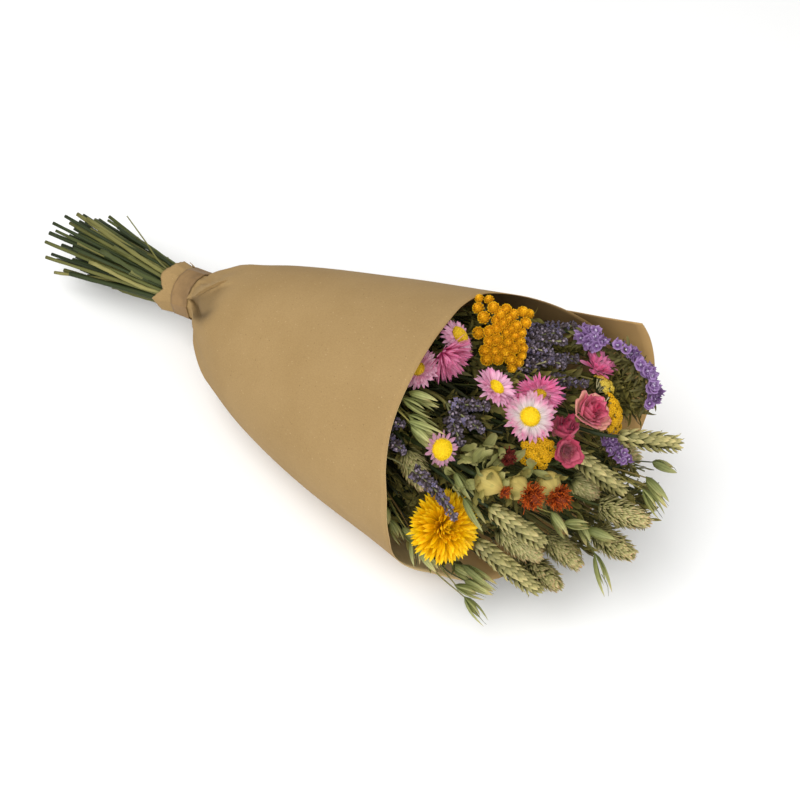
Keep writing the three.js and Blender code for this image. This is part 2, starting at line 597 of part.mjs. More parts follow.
// Stems: one bundle from the cut ends through the neck to the heads
function stemBundle() {
  const random = seeded(223);
  const places = stalks.map(([root]) => {
    const [ahead, y, u] = local(root);
    return V(42 * y / ahead + 1, 42 * u / ahead - 5, 0);
  });
  for (let round = 0; round < 60; round++) {
    for (const p of places) {
      for (const q of places) {
        const apart = p.clone().sub(q);
        const d = apart.length();
        if (p !== q && d < 3.25) p.addScaledVector(apart, 0.3 * (3.25 - d) / Math.max(d, 0.1));
      }
      p.clampLength(0, 12.4);
    }
  }
  const bodies = [tube([knot(-13, 0, 0), knot(13, 0, 0)], [15.2, 15.2], 12)];
  stalks.forEach(([root, direction, thick, flare, bend = 14], i) => {
    const r = places[i].length();
    const a = Math.atan2(places[i].y, places[i].x);
    const b = a + 0.16 * (random() - 0.5);
    const far = r * 1.75 + 7 + 8 * (random() - 0.5);
    const tail = knot(-118 - 38 * random(), far * Math.cos(b), far * Math.sin(b) + 14);
    const girth = thick + 0.3;
    tail.z = Math.max(tail.z, girth + 1);
    const [side, lift] = [r * Math.cos(a), r * Math.sin(a)];
    const back = [tail, knot(-10, side, lift), knot(10, side, lift)];
    const tip = root.clone().addScaledVector(direction, -0.35);
    const path = back.concat([tip.clone().addScaledVector(direction, -bend), tip]);
    const radii = [girth, girth, girth, thick, flare || thick];
    if (flare) {
      path.splice(4, 0, tip.clone().addScaledVector(direction, -5));
      radii.splice(4, 0, thick);
    }
    bodies.push(tube(path, radii, 3));
  });
  const loose = [knot(-10, 0, 11), knot(-33, 0, 21), knot(-47, 1, 39), knot(-64, 3, 58)];
  bodies.push(tube(loose, [1, 1, 0.8, 0.7], 4));
  return fused(bodies);
}

add('stems', stemBundle(), 'stem');
add('paper_wrap', paperWrap(), 'paper');
const overPaper = (degrees) => {
  const step = degrees > 180 ? degrees - 360 : degrees;
  return 19.75 + LAP * between([[-120, 0], [-108, 0.2], [-96, 1], [-60, 1], [-40, 0.2], [-28, 0]], step);
};
add('neck_tape', ringRound(-9, 9, overPaper, (d) => overPaper(d) + 1, 24), 'tape');
add('stem_band', ringRound(-4, 4, () => 16.4, () => 17.7, 10), 'band');

const bouquet = new THREE.Group();
bouquet.name = 'mixed_flower_bouquet';
for (const [name, body, colour] of nodes) {
  const { numProp, vertProperties, triVerts } = body.getMesh();
  const geometry = new THREE.BufferGeometry();
  const positions = new Float32Array(vertProperties.length / numProp * 3);
  for (let i = 0; i < positions.length / 3; i++) {
    for (let k = 0; k < 3; k++) positions[3 * i + k] = vertProperties[numProp * i + k];
  }
  geometry.setAttribute('position', new THREE.BufferAttribute(positions, 3));
  geometry.setIndex(Array.from(triVerts));
  geometry.computeVertexNormals();
  const mesh = new THREE.Mesh(geometry, new THREE.MeshStandardMaterial({ color: colour }));
  mesh.name = name;
  bouquet.add(mesh);
}

export default bouquet;
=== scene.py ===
import math

import bpy
import numpy as np
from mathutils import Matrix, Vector


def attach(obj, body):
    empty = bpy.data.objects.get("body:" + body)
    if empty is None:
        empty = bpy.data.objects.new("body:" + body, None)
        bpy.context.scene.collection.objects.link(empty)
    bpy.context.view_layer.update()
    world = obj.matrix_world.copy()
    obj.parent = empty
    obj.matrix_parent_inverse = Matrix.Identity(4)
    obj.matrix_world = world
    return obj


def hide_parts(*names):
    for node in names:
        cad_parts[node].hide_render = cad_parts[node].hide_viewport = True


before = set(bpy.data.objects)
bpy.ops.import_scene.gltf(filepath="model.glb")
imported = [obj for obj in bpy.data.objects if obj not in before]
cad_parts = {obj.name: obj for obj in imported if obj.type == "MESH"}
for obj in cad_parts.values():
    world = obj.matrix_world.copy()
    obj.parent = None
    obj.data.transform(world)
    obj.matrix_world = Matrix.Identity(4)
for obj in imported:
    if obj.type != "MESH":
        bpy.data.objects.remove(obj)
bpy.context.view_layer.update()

MM = 0.001
TAU = 2 * math.pi
GOLDEN = 2.39996
LOWEST = 0.0002


# Camera at the photograph's angle
CAMERA_AZIMUTH, CAMERA_ELEVATION = math.radians(37), math.radians(48)
CAMERA_DISTANCE, CAMERA_LENS = 1.42, 83.92
TARGET = Vector((0.0195, -0.0085, 0.09))


def make_camera():
    data = bpy.data.cameras.new("camera")
    data.lens, data.sensor_width = CAMERA_LENS, 36
    data.clip_start, data.clip_end = 0.05, 50
    camera = bpy.data.objects.new("camera", data)
    a, e = CAMERA_AZIMUTH, CAMERA_ELEVATION
    back = Vector((math.sin(a) * math.cos(e), -math.cos(a) * math.cos(e), math.sin(e)))
    camera.location = TARGET + back * CAMERA_DISTANCE
    camera.rotation_mode = "QUATERNION"
    camera.rotation_quaternion = (-back).to_track_quat("-Z", "Y")
    bpy.context.scene.collection.objects.link(camera)
    bpy.context.scene.camera = camera


make_camera()


# Vectors, in mm in the CAD frame
def vec(*p):
    return np.array(p, float)


def polar(r, a, z=0.0):
    return vec(r * math.cos(a), r * math.sin(a), z)


def unit(v):
    return v / np.linalg.norm(v)


TILT = math.radians(10)
NECK = vec(-212, 0, 50)
ALONG = vec(math.cos(TILT), 0, math.sin(TILT))
LIFT = vec(-math.sin(TILT), 0, math.cos(TILT))
FRONT = unit(vec(0.40, -0.53, 0.74))
RIGHT = vec(0.80, 0.60, 0)
RISE = unit(np.cross(FRONT, RIGHT))


def along(s, side, lift):
    return NECK + s * ALONG + vec(0, side, 0) + lift * LIFT


def knot(s, side, lift):
    """A point measured from the middle of the tape."""
    return along(s + 8, side + 8, lift + 4)


def local(p):
    q = p - NECK
    return q @ ALONG, q[1], q @ LIFT


def facing(f, r, u):
    return unit(FRONT * f + RIGHT * r + RISE * u)


def axes(direction, roll=0.0):
    z = unit(direction)
    x = vec(1, 0, 0) if abs(z[2]) > 0.95 else vec(0, 0, 1)
    x = unit(x - z * (x @ z))
    y = np.cross(z, x)
    return np.column_stack([x, y, z]) @ rot_z(roll)


def rot_x(a):
    c, s = math.cos(a), math.sin(a)
    return np.array([[1, 0, 0], [0, c, -s], [0, s, c]])


def rot_y(a):
    c, s = math.cos(a), math.sin(a)
    return np.array([[c, 0, s], [0, 1, 0], [-s, 0, c]])


def rot_z(a):
    c, s = math.cos(a), math.sin(a)
    return np.array([[c, -s, 0], [s, c, 0], [0, 0, 1]])


def seeded(seed):
    state = [seed]

    def draw():
        state[0] = (state[0] + 0x6D2B79F5) & 0xFFFFFFFF
        a = state[0]
        t = ((a ^ (a >> 15)) * (1 | a)) & 0xFFFFFFFF
        t = ((t + (((t ^ (t >> 7)) * (61 | t)) & 0xFFFFFFFF)) & 0xFFFFFFFF) ^ t
        return (t ^ (t >> 14)) / 4294967296

    return draw


def smoothstep(x, low, high):
    t = np.clip((x - low) / (high - low), 0, 1)
    return t * t * (3 - 2 * t)


# Forms: points, quads, triangles and marks (t along, u across)
NO_TRIS = np.zeros((0, 3), int)


def grid_faces(rows, cols, closed=False):
    r, c = np.meshgrid(np.arange(rows - 1), np.arange(cols if closed else cols - 1), indexing="ij")
    d = (c + 1) % cols
    quads = np.stack([r * cols + c, r * cols + d, (r + 1) * cols + d, (r + 1) * cols + c], -1)
    return quads.reshape(-1, 4)


def grid_form(points, t, u, closed=False):
    """A form from rows and columns of points."""
    rows, cols = points.shape[:2]
    marks = np.column_stack([np.repeat(t, cols), np.tile(np.ravel(u), rows)])
    return points.reshape(-1, 3), grid_faces(rows, cols, closed), NO_TRIS, marks


def rolled(r, a, z, t, u, closed=False):
    """A grid form from distances, angles and heights round z."""
    return grid_form(np.stack([r * np.cos(a), r * np.sin(a), z + 0 * a], -1), t, u, closed)


def leaf(length, width, rows, cols, root=0.35, belly=0.5, point=0.8, rise=0.0, curl=0.0, cup=0.0, twist=0.0,
         wave=0.0, phase=0.0):
    """A petal, bract or blade from the origin along x, its upper side towards z."""
    t = np.linspace(0, 1, rows)
    angle = rise + curl * t
    step = length / (rows - 1)
    mid = (angle[1:] + angle[:-1]) / 2
    x = np.concatenate([[0], np.cumsum(np.cos(mid) * step)])
    z = np.concatenate([[0], np.cumsum(np.sin(mid) * step)])
    below = root + (1 - root) * np.sin(np.pi / 2 * np.clip(t / belly, 0, 1))
    beyond = np.clip((t - belly) / (1 - belly), 0, 1)
    half = width / 2 * np.where(t < belly, below, np.maximum(1 - beyond ** 2, 0.004) ** point)[:, None]
    u = np.linspace(-1, 1, cols)
    across = half * u
    height = cup * half * u ** 2
    height = height + wave * np.sin(5 * t[:, None] * np.pi + phase) * np.abs(u) * t[:, None]
    turn = twist * t[:, None]
    y = across * np.cos(turn) - height * np.sin(turn)
    h = across * np.sin(turn) + height * np.cos(turn)
    px = x[:, None] - h * np.sin(angle)[:, None]
    pz = z[:, None] + h * np.cos(angle)[:, None]
    return grid_form(np.stack([px, y, pz], -1), t, u)


def end_faces(sides, low, low_hub, high, high_hub):
    """Triangles that close both ends of a round form."""
    i = np.arange(sides)
    j = (i + 1) % sides
    return np.concatenate([np.column_stack([0 * i + low_hub, low + j, low + i]),
                           np.column_stack([high + i, high + j, 0 * i + high_hub])])


def turned(profile, sides, wave=None):
    """Rings round z; the first and last rows lie on the axis."""
    rings = profile[1:-1]
    count = len(rings)
    a = np.arange(sides) * TAU / sides
    points = [vec(0, 0, profile[0][1])]
    for k, (r, z) in enumerate(rings):
        d = wave(k, a) if wave else 0 * a
        points.extend(np.column_stack([(r + d) * np.cos(a), (r + d) * np.sin(a), z + 0.6 * d]))
    points.append(vec(0, 0, profile[-1][1]))
    ends = end_faces(sides, 1, 0, 1 + (count - 1) * sides, len(points) - 1)
    t = np.concatenate([[0], np.repeat(np.arange(1, count + 1) / (count + 1), sides), [1]])
    u = np.concatenate([[0], np.tile(np.cos(a), count), [0]])
    return np.array(points), grid_faces(count, sides, True) + 1, ends, np.column_stack([t, u])


def spline(points, count):
    """A smooth path through the points, without loops where they lie close together."""
    p = np.array(points, float)
    p = np.concatenate([[2 * p[0] - p[1]], p, [2 * p[-1] - p[-2]]])
    gaps = np.maximum(np.linalg.norm(np.diff(p, axis=0), axis=1), 1e-6) ** 0.5
    out = []
    spans = len(p) - 3
    for x in np.linspace(0, spans, count):
        i = min(int(x), spans - 1)
        t = x - i
        a, b, c, d = p[i:i + 4]
        u, v, w = gaps[i:i + 3]
        leave = v * ((b - a) / u - (c - a) / (u + v) + (c - b) / v)
        arrive = v * ((c - b) / v - (d - b) / (v + w) + (d - c) / w)
        out.append(b + leave * t + (3 * (c - b) - 2 * leave - arrive) * t * t
                   + (2 * (b - c) + leave + arrive) * t ** 3)
    return np.array(out)


def frames_on(path):
    tangents = np.gradient(path, axis=0)
    tangents /= np.linalg.norm(tangents, axis=1)[:, None] + 1e-9
    n = vec(0, 0, 1) if abs(tangents[0][2]) < 0.9 else vec(1, 0, 0)
    normals = []
    for t in tangents:
        n = unit(n - t * (n @ t))
        normals.append(n)
    normals = np.array(normals)
    return normals, np.cross(tangents, normals)


def tube(path, radii, sides, ridge=0.0, ridges=5):
    path = np.asarray(path, float)
    rows = len(path)
    radii = np.broadcast_to(np.asarray(radii, float), (rows,))
    n, b = frames_on(path)
    a = np.arange(sides) * TAU / sides
    swell = 1 + ridge * np.cos(ridges * a)
    ring = n[:, None] * (np.cos(a) * swell)[None, :, None] + b[:, None] * (np.sin(a) * swell)[None, :, None]
    body = (path[:, None] + ring * radii[:, None, None]).reshape(-1, 3)
    points = np.concatenate([body, path[:1], path[-1:]])
    ends = end_faces(sides, 0, rows * sides, (rows - 1) * sides, rows * sides + 1)
    t = np.concatenate([np.repeat(np.linspace(0, 1, rows), sides), [0, 1]])
    u = np.concatenate([np.tile(np.cos(a), rows), [0, 0]])
    return points, grid_faces(rows, sides, True), ends, np.column_stack([t, u])


def rod(heights, radii):
    """A straight stalk on z."""
    return tube([vec(0, 0, z) for z in heights], radii, 6)


def ribbon(path, widths, side, cols, cup, twist):
    """A grass blade along a path."""
    n, b = frames_on(path)
    t = np.linspace(0, 1, len(path))
    turn = (twist * t + side)[:, None]
    across = n * np.cos(turn) + b * np.sin(turn)
    up = -n * np.sin(turn) + b * np.cos(turn)
    u = np.linspace(-1, 1, cols)
    half = widths[:, None, None] / 2
    points = path[:, None] + across[:, None] * half * u[None, :, None]
    points = points + up[:, None] * half * cup * (u ** 2)[None, :, None]
    return grid_form(points, t, u)


def scaled(form, size):
    return form[0] * size, *form[1:]


class Heap:
    """Collects forms for one piece."""

    def __init__(self):
        self.points, self.quads, self.tris, self.marks = [], [], [], []
        self.quad_skins, self.tri_skins = [], []
        self.size = 0

    def add(self, points, quads, tris, marks, quad_skins, tri_skins):
        self.points.append(points)
        self.quads.append(quads + self.size)
        self.tris.append(tris + self.size)
        self.marks.append(marks)
        self.quad_skins.append(quad_skins)
        self.tri_skins.append(tri_skins)
        self.size += len(points)

    def put(self, form, origin=(0, 0, 0), turn=None, r=0.0, skin=0):
        points, quads, tris, marks = form
        if turn is not None:
            points = points @ np.asarray(turn).T
        marks = np.column_stack([marks, np.full(len(marks), float(r))])
        self.add(points + np.asarray(origin, float), quads, tris, marks, np.full(len(quads), skin),
                 np.full(len(tris), skin))

    def merged(self):
        """One form out of the whole heap, with its tones kept as a third mark."""
        return [np.concatenate(part) for part in (self.points, self.quads, self.tris, self.marks,
                                                  self.quad_skins, self.tri_skins)]

    def stamp(self, whole, origin, turn, size, tone, keep=0.6):
        """A copy of a merged heap in a tone of its own."""
        points, quads, tris, marks, quad_skins, tri_skins = whole
        toned = marks.copy()
        toned[:, 2] = keep * marks[:, 2] + (1 - keep) * tone
        self.add(points * size @ turn.T + origin, quads, tris, toned, quad_skins, tri_skins)

    def crown(self, form, count, r, z, tone, skin=0, lean=0.0):
        """Copies of a form in a ring round z."""
        for i in range(count):
            a = TAU * i / count
            self.put(form, polar(r, a, z), rot_z(a) @ rot_y(lean), tone(), skin)

    def place(self, origin, direction):
        turn = axes(np.asarray(direction, float))
        self.points = [p @ turn.T + np.asarray(origin, float) for p in self.points]
        return self

    def piece(self, name, skins, nodes, slot):
        points, quads, tris, marks, *used = self.merged()
        points = points * MM
        points[:, 2] = np.maximum(points[:, 2], LOWEST)
        mesh = bpy.data.meshes.new(name)
        mesh.vertices.add(len(points))
        mesh.vertices.foreach_set("co", points.astype(np.float32).ravel())
        corners = np.concatenate([quads.ravel(), tris.ravel()])
        mesh.loops.add(len(corners))
        mesh.loops.foreach_set("vertex_index", corners.astype(np.int32))
        starts = np.concatenate([np.arange(len(quads)) * 4, 4 * len(quads) + np.arange(len(tris)) * 3])
        mesh.polygons.add(len(starts))
        mesh.polygons.foreach_set("loop_start", starts.astype(np.int32))
        for skin in skins:
            mesh.materials.append(skin)
        mesh.polygons.foreach_set("material_index", np.concatenate(used).astype(np.int32))
        mesh.polygons.foreach_set("use_smooth", np.full(len(starts), True))
        mesh.update()
        for k, mark in enumerate("tur"):
            layer = mesh.attributes.new(mark, "FLOAT", "POINT")
            layer.data.foreach_set("value", marks[:, k].astype(np.float32))
        mesh.validate()
        piece = bpy.data.objects.new(name, mesh)
        bpy.context.scene.collection.objects.link(piece)
        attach(piece, "root")
        if nodes:
            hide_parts(*nodes)


def fresh(seed):
    return Heap(), np.random.default_rng(seed)


# Materials
def srgb(r, g, b):
    def line(c):
        c = c / 255
        return c / 12.92 if c <= 0.04 else ((c + 0.055) / 1.055) ** 2.4

    return line(r), line(g), line(b), 1.0


class Paint:
    """Node helper for one material; a tuple of three numbers is a colour."""

    def __init__(self, name, roughness, specular, sheen=0.0):
        self.material = bpy.data.materials.new(name)
        self.material.use_nodes = True
        self.tree = self.material.node_tree
        self.shader = self.tree.nodes["Principled BSDF"]
        self.feed(self.shader.inputs["Roughness"], roughness)
        self.feed(self.shader.inputs["Specular IOR Level"], specular)
        if sheen:
            self.feed(self.shader.inputs["Sheen Weight"], sheen)

    def feed(self, socket, value):
        if isinstance(value, bpy.types.NodeSocket):
            self.tree.links.new(value, socket)
        else:
            socket.default_value = srgb(*value) if isinstance(value, tuple) else value

    def node(self, kind, feeds=(), out=0, **settings):
        made = self.tree.nodes.new("ShaderNode" + kind)
        for key, value in settings.items():
            setattr(made, key, value)
        for key, value in feeds:
            self.feed(made.inputs[key], value)
        return made.outputs[out]

    def mark(self, name):
        return self.node("Attribute", out="Fac", attribute_name=name)

    def marks(self):
        return self.mark("t"), self.mark("u"), self.mark("r")

    def maths(self, operation, a, b=0.0, c=0.0):
        return self.node("Math", enumerate((a, b, c)), operation=operation)

    def times(self, a, b):
        return self.maths("MULTIPLY", a, b)

    def shift(self, value, amount, base):
        """The base moved by how far a value lies from its middle."""
        return self.maths("MULTIPLY_ADD", self.maths("SUBTRACT", value, 0.5), amount, base)

    def place(self, scale=(1, 1, 1)):
        where = self.node("TexCoord", out="Object")
        return self.node("Mapping", (("Vector", where), ("Scale", Vector(scale))))

    def noise(self, vector, scale, detail=3.0, roughness=0.55):
        return self.node("TexNoise", (("Vector", vector), ("Scale", scale), ("Detail", detail),
                                      ("Roughness", roughness)), "Fac")

    def veins(self, x, y, z, detail=3.0):
        return self.noise(self.node("CombineXYZ", enumerate((x, y, z))), 1.0, detail)

    def cells(self, vector, scale):
        return self.node("TexVoronoi", (("Vector", vector), ("Scale", scale)), "Distance")

    def ramp(self, value, stops):
        made = self.tree.nodes.new("ShaderNodeValToRGB")
        band = made.color_ramp
        while len(band.elements) < len(stops):
            band.elements.new(0.5)
        for element, (at, *colour) in zip(band.elements, stops):
            element.position = at
            element.color = srgb(*colour)
        self.feed(made.inputs["Fac"], value)
        return made.outputs["Color"]

    def span(self, value, low, high, to_low=0.0, to_high=1.0):
        return self.node("MapRange", (("Value", value), ("From Min", low), ("From Max", high),
                                      ("To Min", to_low), ("To Max", to_high)))

    def swing(self, value, low, high):
        """The usual range of a noise brought to a range of shades."""
        return self.span(value, 0.3, 0.7, low, high)

    def mix(self, share, a, b):
        return self.node("Mix", ((0, share), (6, a), (7, b)), 2, data_type="RGBA")

    def shade(self, colour, value):
        return self.node("HueSaturation", (("Color", colour), ("Value", value)))

    def bump(self, height, strength, distance):
        normal = self.node("Bump", (("Strength", strength), ("Distance", distance), ("Height", height)))
        self.feed(self.shader.inputs["Normal"], normal)

    def finish(self, colour, glow=0.0):
        self.feed(self.shader.inputs["Base Color"], colour)
        if glow:
            thin = self.node("BsdfTranslucent", (("Color", colour),))
            both = self.node("MixShader", enumerate((glow, self.shader.outputs[0], thin)))
            self.feed(self.tree.nodes["Material Output"].inputs["Surface"], both)
        return self.material


def petal_skin(name, stops, streaks=9.0, streak=0.12, vary=0.18, glow=0.25, roughness=0.6):
    """Colour along the petal with fine veins, a little different on each petal."""
    p = Paint(name, roughness, 0.25)
    t, u, r = p.marks()
    lines = p.veins(p.times(u, streaks * 0.5), p.times(t, 0.8), p.times(r, 37.0), 2.0)
    mottle = p.noise(p.place(), 260.0, 2.0)
    colour = p.ramp(p.shift(r, 0.25, p.shift(lines, 2.2 * streak, t)), stops)
    value = p.span(r, 0.0, 1.0, 1 - vary, 1 + vary * 0.5)
    value = p.times(value, p.swing(lines, 1 - streak, 1 + streak))
    value = p.times(value, p.swing(mottle, 0.94, 1.05))
    p.bump(lines, 0.35, 0.0006)
    return p.finish(p.shade(colour, value), glow)


def paper_skin():
    """Kraft paper: fibres and specks, a warmer inner side that is painted lighter, painted light near the
    front lip of the mouth, and painted shade in the fold and deep in the mouth.
    """
    p = Paint("kraft_paper", 0.82, 0.2)
    where = p.place()
    along_mark, shaded, inside = p.marks()
    fibres = p.noise(p.place((1.0, 3.2, 3.2)), 420.0, 5.0, 0.7)
    cross = p.noise(p.place((3.0, 1.0, 1.4)), 300.0, 4.0, 0.65)
    cloud = p.noise(where, 22.0, 4.0)
    base = p.mix(p.span(cloud, 0.35, 0.65), (154, 126, 82), (159, 131, 87))
    base = p.mix(p.span(fibres, 0.35, 0.66), p.shade(base, 0.88), p.shade(base, 1.05))
    dark = p.times(p.maths("LESS_THAN", p.cells(where, 230.0), 0.13), p.maths("GREATER_THAN", cross, 0.52))
    base = p.mix(p.times(dark, 0.3), base, (92, 68, 40))
    pale = p.cells(p.place((1.0, 1.6, 1.3)), 160.0)
    light = p.times(p.maths("LESS_THAN", pale, 0.13), p.maths("LESS_THAN", cross, 0.5))
    base = p.mix(p.times(light, 0.3), base, (196, 170, 126))
    # Painted light: the inner side is painted lighter and warmer than the outside, to lift the shade inside
    # the cone.
    base = p.mix(p.times(inside, 0.75), base, (190, 152, 96))
    apart = p.tree.nodes.new("ShaderNodeSeparateXYZ")
    p.feed(apart.inputs[0], where)
    x, y, _ = apart.outputs
    # Painted light: the inner side near the front lip of the mouth is painted bright, as if lit from the
    # front.
    painted_light_at_mouth = p.times(p.span(along_mark, 0.66, 0.92), p.span(y, -0.04, -0.07))
    base = p.mix(p.times(p.times(inside, painted_light_at_mouth), 0.9), base, (255, 224, 164))
    # Painted shade: the inner side of the back wall is painted darker inward of the mouth's upper edge.
    painted_shade_under_top_wall = p.times(p.span(x, 0.112, 0.138, 1.0, 0.0), p.span(y, 0.04, 0.07))
    base = p.shade(base, p.span(p.times(inside, painted_shade_under_top_wall), 0.0, 1.0, 1.0, 0.55))
    base = p.shade(base, p.swing(p.noise(where, 5.0, 2.0), 0.97, 1.03))
    # Painted shade: the fold's panel and slit are darkened through the u mark.
    base = p.shade(base, p.span(shaded, 0.0, 1.0, 1.0, 0.45))
    height = p.maths("MULTIPLY_ADD", fibres, 0.35, p.times(cross, 0.2))
    p.bump(p.maths("MULTIPLY_ADD", cloud, 1.1, height), 0.3, 0.0006)
    p.feed(p.shader.inputs["Roughness"], p.swing(fibres, 0.76, 0.88))
    return p.finish(base)


def tape_skin():
    p = Paint("paper_tape", 0.6, 0.3)
    lines = p.noise(p.place((1.0, 0.2, 0.2)), 300.0, 3.0)
    cloud = p.noise(p.place(), 60.0, 4.0)
    base = p.mix(p.span(cloud, 0.35, 0.65), (116, 90, 56), (140, 111, 72))
    p.bump(p.maths("ADD", p.times(cloud, 0.7), p.times(lines, 0.3)), 0.4, 0.0006)
    p.feed(p.shader.inputs["Roughness"], p.swing(cloud, 0.5, 0.7))
    return p.finish(p.shade(base, p.swing(lines, 0.93, 1.06)))


def rubber_skin():
    p = Paint("rubber_band", 0.6, 0.4)
    grain = p.noise(p.place(), 900.0, 3.0)
    p.bump(grain, 0.2, 0.0003)
    return p.finish(p.mix(p.swing(grain, 0.0, 1.0), (120, 84, 58), (140, 102, 72)))


def stem_skin(name, stops, spots=0.25):
    """Dried stalks: one tone a stalk, lines along it and brown marks."""
    p = Paint(name, 0.62, 0.3)
    t, u, r = p.marks()
    lines = p.veins(p.times(u, 4.0), p.times(t, 1.5), p.times(r, 53.0))
    marks = p.noise(p.place((0.35, 1.0, 1.0)), 160.0, 4.0, 0.6)
    colour = p.mix(p.times(p.span(marks, 0.58, 0.72), spots), p.ramp(r, stops), (62, 58, 30))
    p.bump(lines, 0.4, 0.0005)
    p.feed(p.shader.inputs["Roughness"], p.swing(marks, 0.5, 0.75))
    return p.finish(p.shade(colour, p.swing(lines, 0.78, 1.18)))


def husk_skin(name, stops, keel, stripes, depth, glow=0.15):
    """Glumes and lemmas: green veins between pale papery stripes."""
    p = Paint(name, 0.55, 0.35)
    t, u, r = p.marks()
    vein = p.span(p.maths("COSINE", p.times(u, stripes * math.pi)), 0.1, 0.9)
    amount = p.times(p.times(vein, p.span(t, 0.55, 1.0, 1.0, 0.15)), depth)
    colour = p.mix(amount, p.ramp(p.shift(r, 0.35, t), stops), keel)
    mottle = p.noise(p.place(), 320.0, 3.0)
    p.bump(p.maths("ADD", vein, mottle), 0.3, 0.0004)
    value = p.times(p.swing(mottle, 0.88, 1.1), p.span(r, 0.0, 1.0, 0.86, 1.12))
    return p.finish(p.shade(colour, value), glow)


def grain_skin(name, stops, roughness=0.7, cellsize=1400.0, depth=0.25, glow=0.0):
    """Florets and discs: colour by height with a fine granular surface."""
    p = Paint(name, roughness, 0.25)
    t, r = p.mark("t"), p.mark("r")
    cells = p.cells(p.place(), cellsize)
    p.bump(cells, 0.4, 0.0004)
    value = p.times(p.span(cells, 0.0, 0.7, 1 - depth, 1 + depth * 0.6), p.span(r, 0.0, 1.0, 0.88, 1.1))
    return p.finish(p.shade(p.ramp(p.shift(r, 0.4, t), stops), value), glow)


def spotted_skin():
    p = Paint("safflower_bract", 0.6, 0.3)
    t, u, r = p.marks()
    veins = p.veins(p.times(u, 5.0), t, p.times(r, 31.0))
    colour = p.ramp(p.shift(r, 0.3, t), [(0, 118, 108, 54), (0.4, 170, 152, 80), (0.8, 184, 164, 88),
                                         (1, 152, 124, 58)])
    spots = p.cells(p.place(), 120.0)
    colour = p.mix(p.span(spots, 0.34, 0.26, 0.0, 0.4), colour, (132, 134, 70))
    p.bump(veins, 0.35, 0.0006)
    return p.finish(p.shade(colour, p.swing(veins, 0.85, 1.1)), 0.1)


def rose_skin(name, outer, body, deep, rim):
    """Petals darker towards the heart, with a dry rim; r is the layer."""
    p = Paint(name, 0.65, 0.25, 0.15)
    t, u, r = p.marks()
    veins = p.veins(p.times(u, 7.0), p.times(t, 1.5), p.times(r, 41.0))
    mottle = p.noise(p.place(), 240.0, 4.0)
    colour = p.ramp(r, [(0, *outer), (0.25, *body), (0.6, *body), (1, *deep)])
    colour = p.mix(p.span(t, 0.0, 0.6, 0.75, 0.0), colour, (206, 168, 130))
    colour = p.mix(p.times(p.span(t, 0.86, 1.0), 0.75), colour, rim)
    p.bump(p.maths("ADD", veins, mottle), 0.45, 0.0007)
    value = p.times(p.swing(veins, 0.82, 1.14), p.swing(mottle, 0.88, 1.1))
    return p.finish(p.shade(colour, value), 0.18)


STEM = stem_skin("dried_stems", [(0, 44, 51, 24), (0.3, 62, 69, 30), (0.55, 84, 87, 40), (0.75, 114, 109, 52),
                                 (0.92, 150, 141, 74), (1, 92, 68, 38)])
BUNCH = stem_skin("bunch_stalks", [(0, 36, 46, 18), (0.4, 52, 62, 26), (0.7, 74, 80, 36),
                                   (0.86, 106, 104, 52), (0.97, 150, 142, 84), (1, 98, 68, 34)], 0.5)
BLADE = stem_skin("grass_blades", [(0, 64, 70, 34), (0.4, 90, 93, 46), (0.7, 116, 113, 60),
                                   (1, 138, 122, 68)], 0.35)
GREY_GREEN = stem_skin("grey_green_stalks", [(0, 108, 112, 74), (0.6, 140, 140, 96), (1, 170, 164, 120)])
LEAF = petal_skin("dry_leaves", [(0, 94, 88, 42), (0.5, 126, 120, 60), (1, 150, 138, 72)], vary=0.25,
                  glow=0.12, roughness=0.7)
FLORET_YELLOW = grain_skin("disc_florets", [(0, 222, 168, 6), (0.45, 250, 212, 6), (1, 255, 232, 50)],
                           depth=0.15, glow=0.1)
FLORET_MUSTARD = grain_skin("dark_disc_florets", [(0, 146, 112, 20), (0.5, 212, 172, 24), (1, 236, 202, 50)])


# Collected stalks, in the order of the CAD source
stalks = []


def head_stalk(root, direction, stem=1.3, flare=0.0, bend=26.0):
    stalks.append((vec(*root), direction, stem, flare, bend))


def head(heap, root, direction, name, part, skins, slot, *stem):
    """Places a head, names its piece after the solid it replaces and asks for its stalk."""
    heap.place(root, direction).piece(name + part, skins, [name], slot)
    head_stalk(root, direction, *stem)


# Everlasting daisies
def daisy(radius, eye, slopes, seed, count=23, layers=4, wide=0.175):
    heap, draw = fresh(seed)
    hub = 0.72 * eye
    for k in range(layers):
        share = k / (layers - 1)
        slope = math.atan(slopes[0] + (slopes[1] - slopes[0]) * share)
        length = (radius - hub) * (1.02 - 0.22 * share)
        for i in range(count):
            a = TAU * (i + 0.5 * (k % 2) + 0.13 * draw.normal()) / count
            form = leaf(length * draw.uniform(0.84, 1.04), wide * radius * draw.uniform(0.8, 1.15), 8, 5,
                        root=0.5, belly=0.55, point=0.7, rise=slope + 0.07 * draw.normal() + 0.05,
                        curl=0.2 * draw.uniform(-0.6, 1.4), cup=draw.uniform(0.15, 0.5),
                        twist=0.25 * draw.normal())
            turn = rot_z(a) @ rot_x(0.18 * draw.normal())
            heap.put(form, polar(hub, a, 0.5 + 0.35 * k), turn, draw.random())
    cup = turned([[0, -0.6], [0.5 * eye, -0.2], [0.95 * eye, 0.5], [0.6 * eye, 0.9], [0, 1.0]], 16)
    heap.put(cup, r=0.4, skin=1)
    sepal = leaf(0.9 * eye, 1.6, 4, 3, rise=0.35, curl=-0.3, cup=0.3)
    heap.crown(sepal, 18, 0.35 * eye, -0.5, draw.random, 1)
    return heap


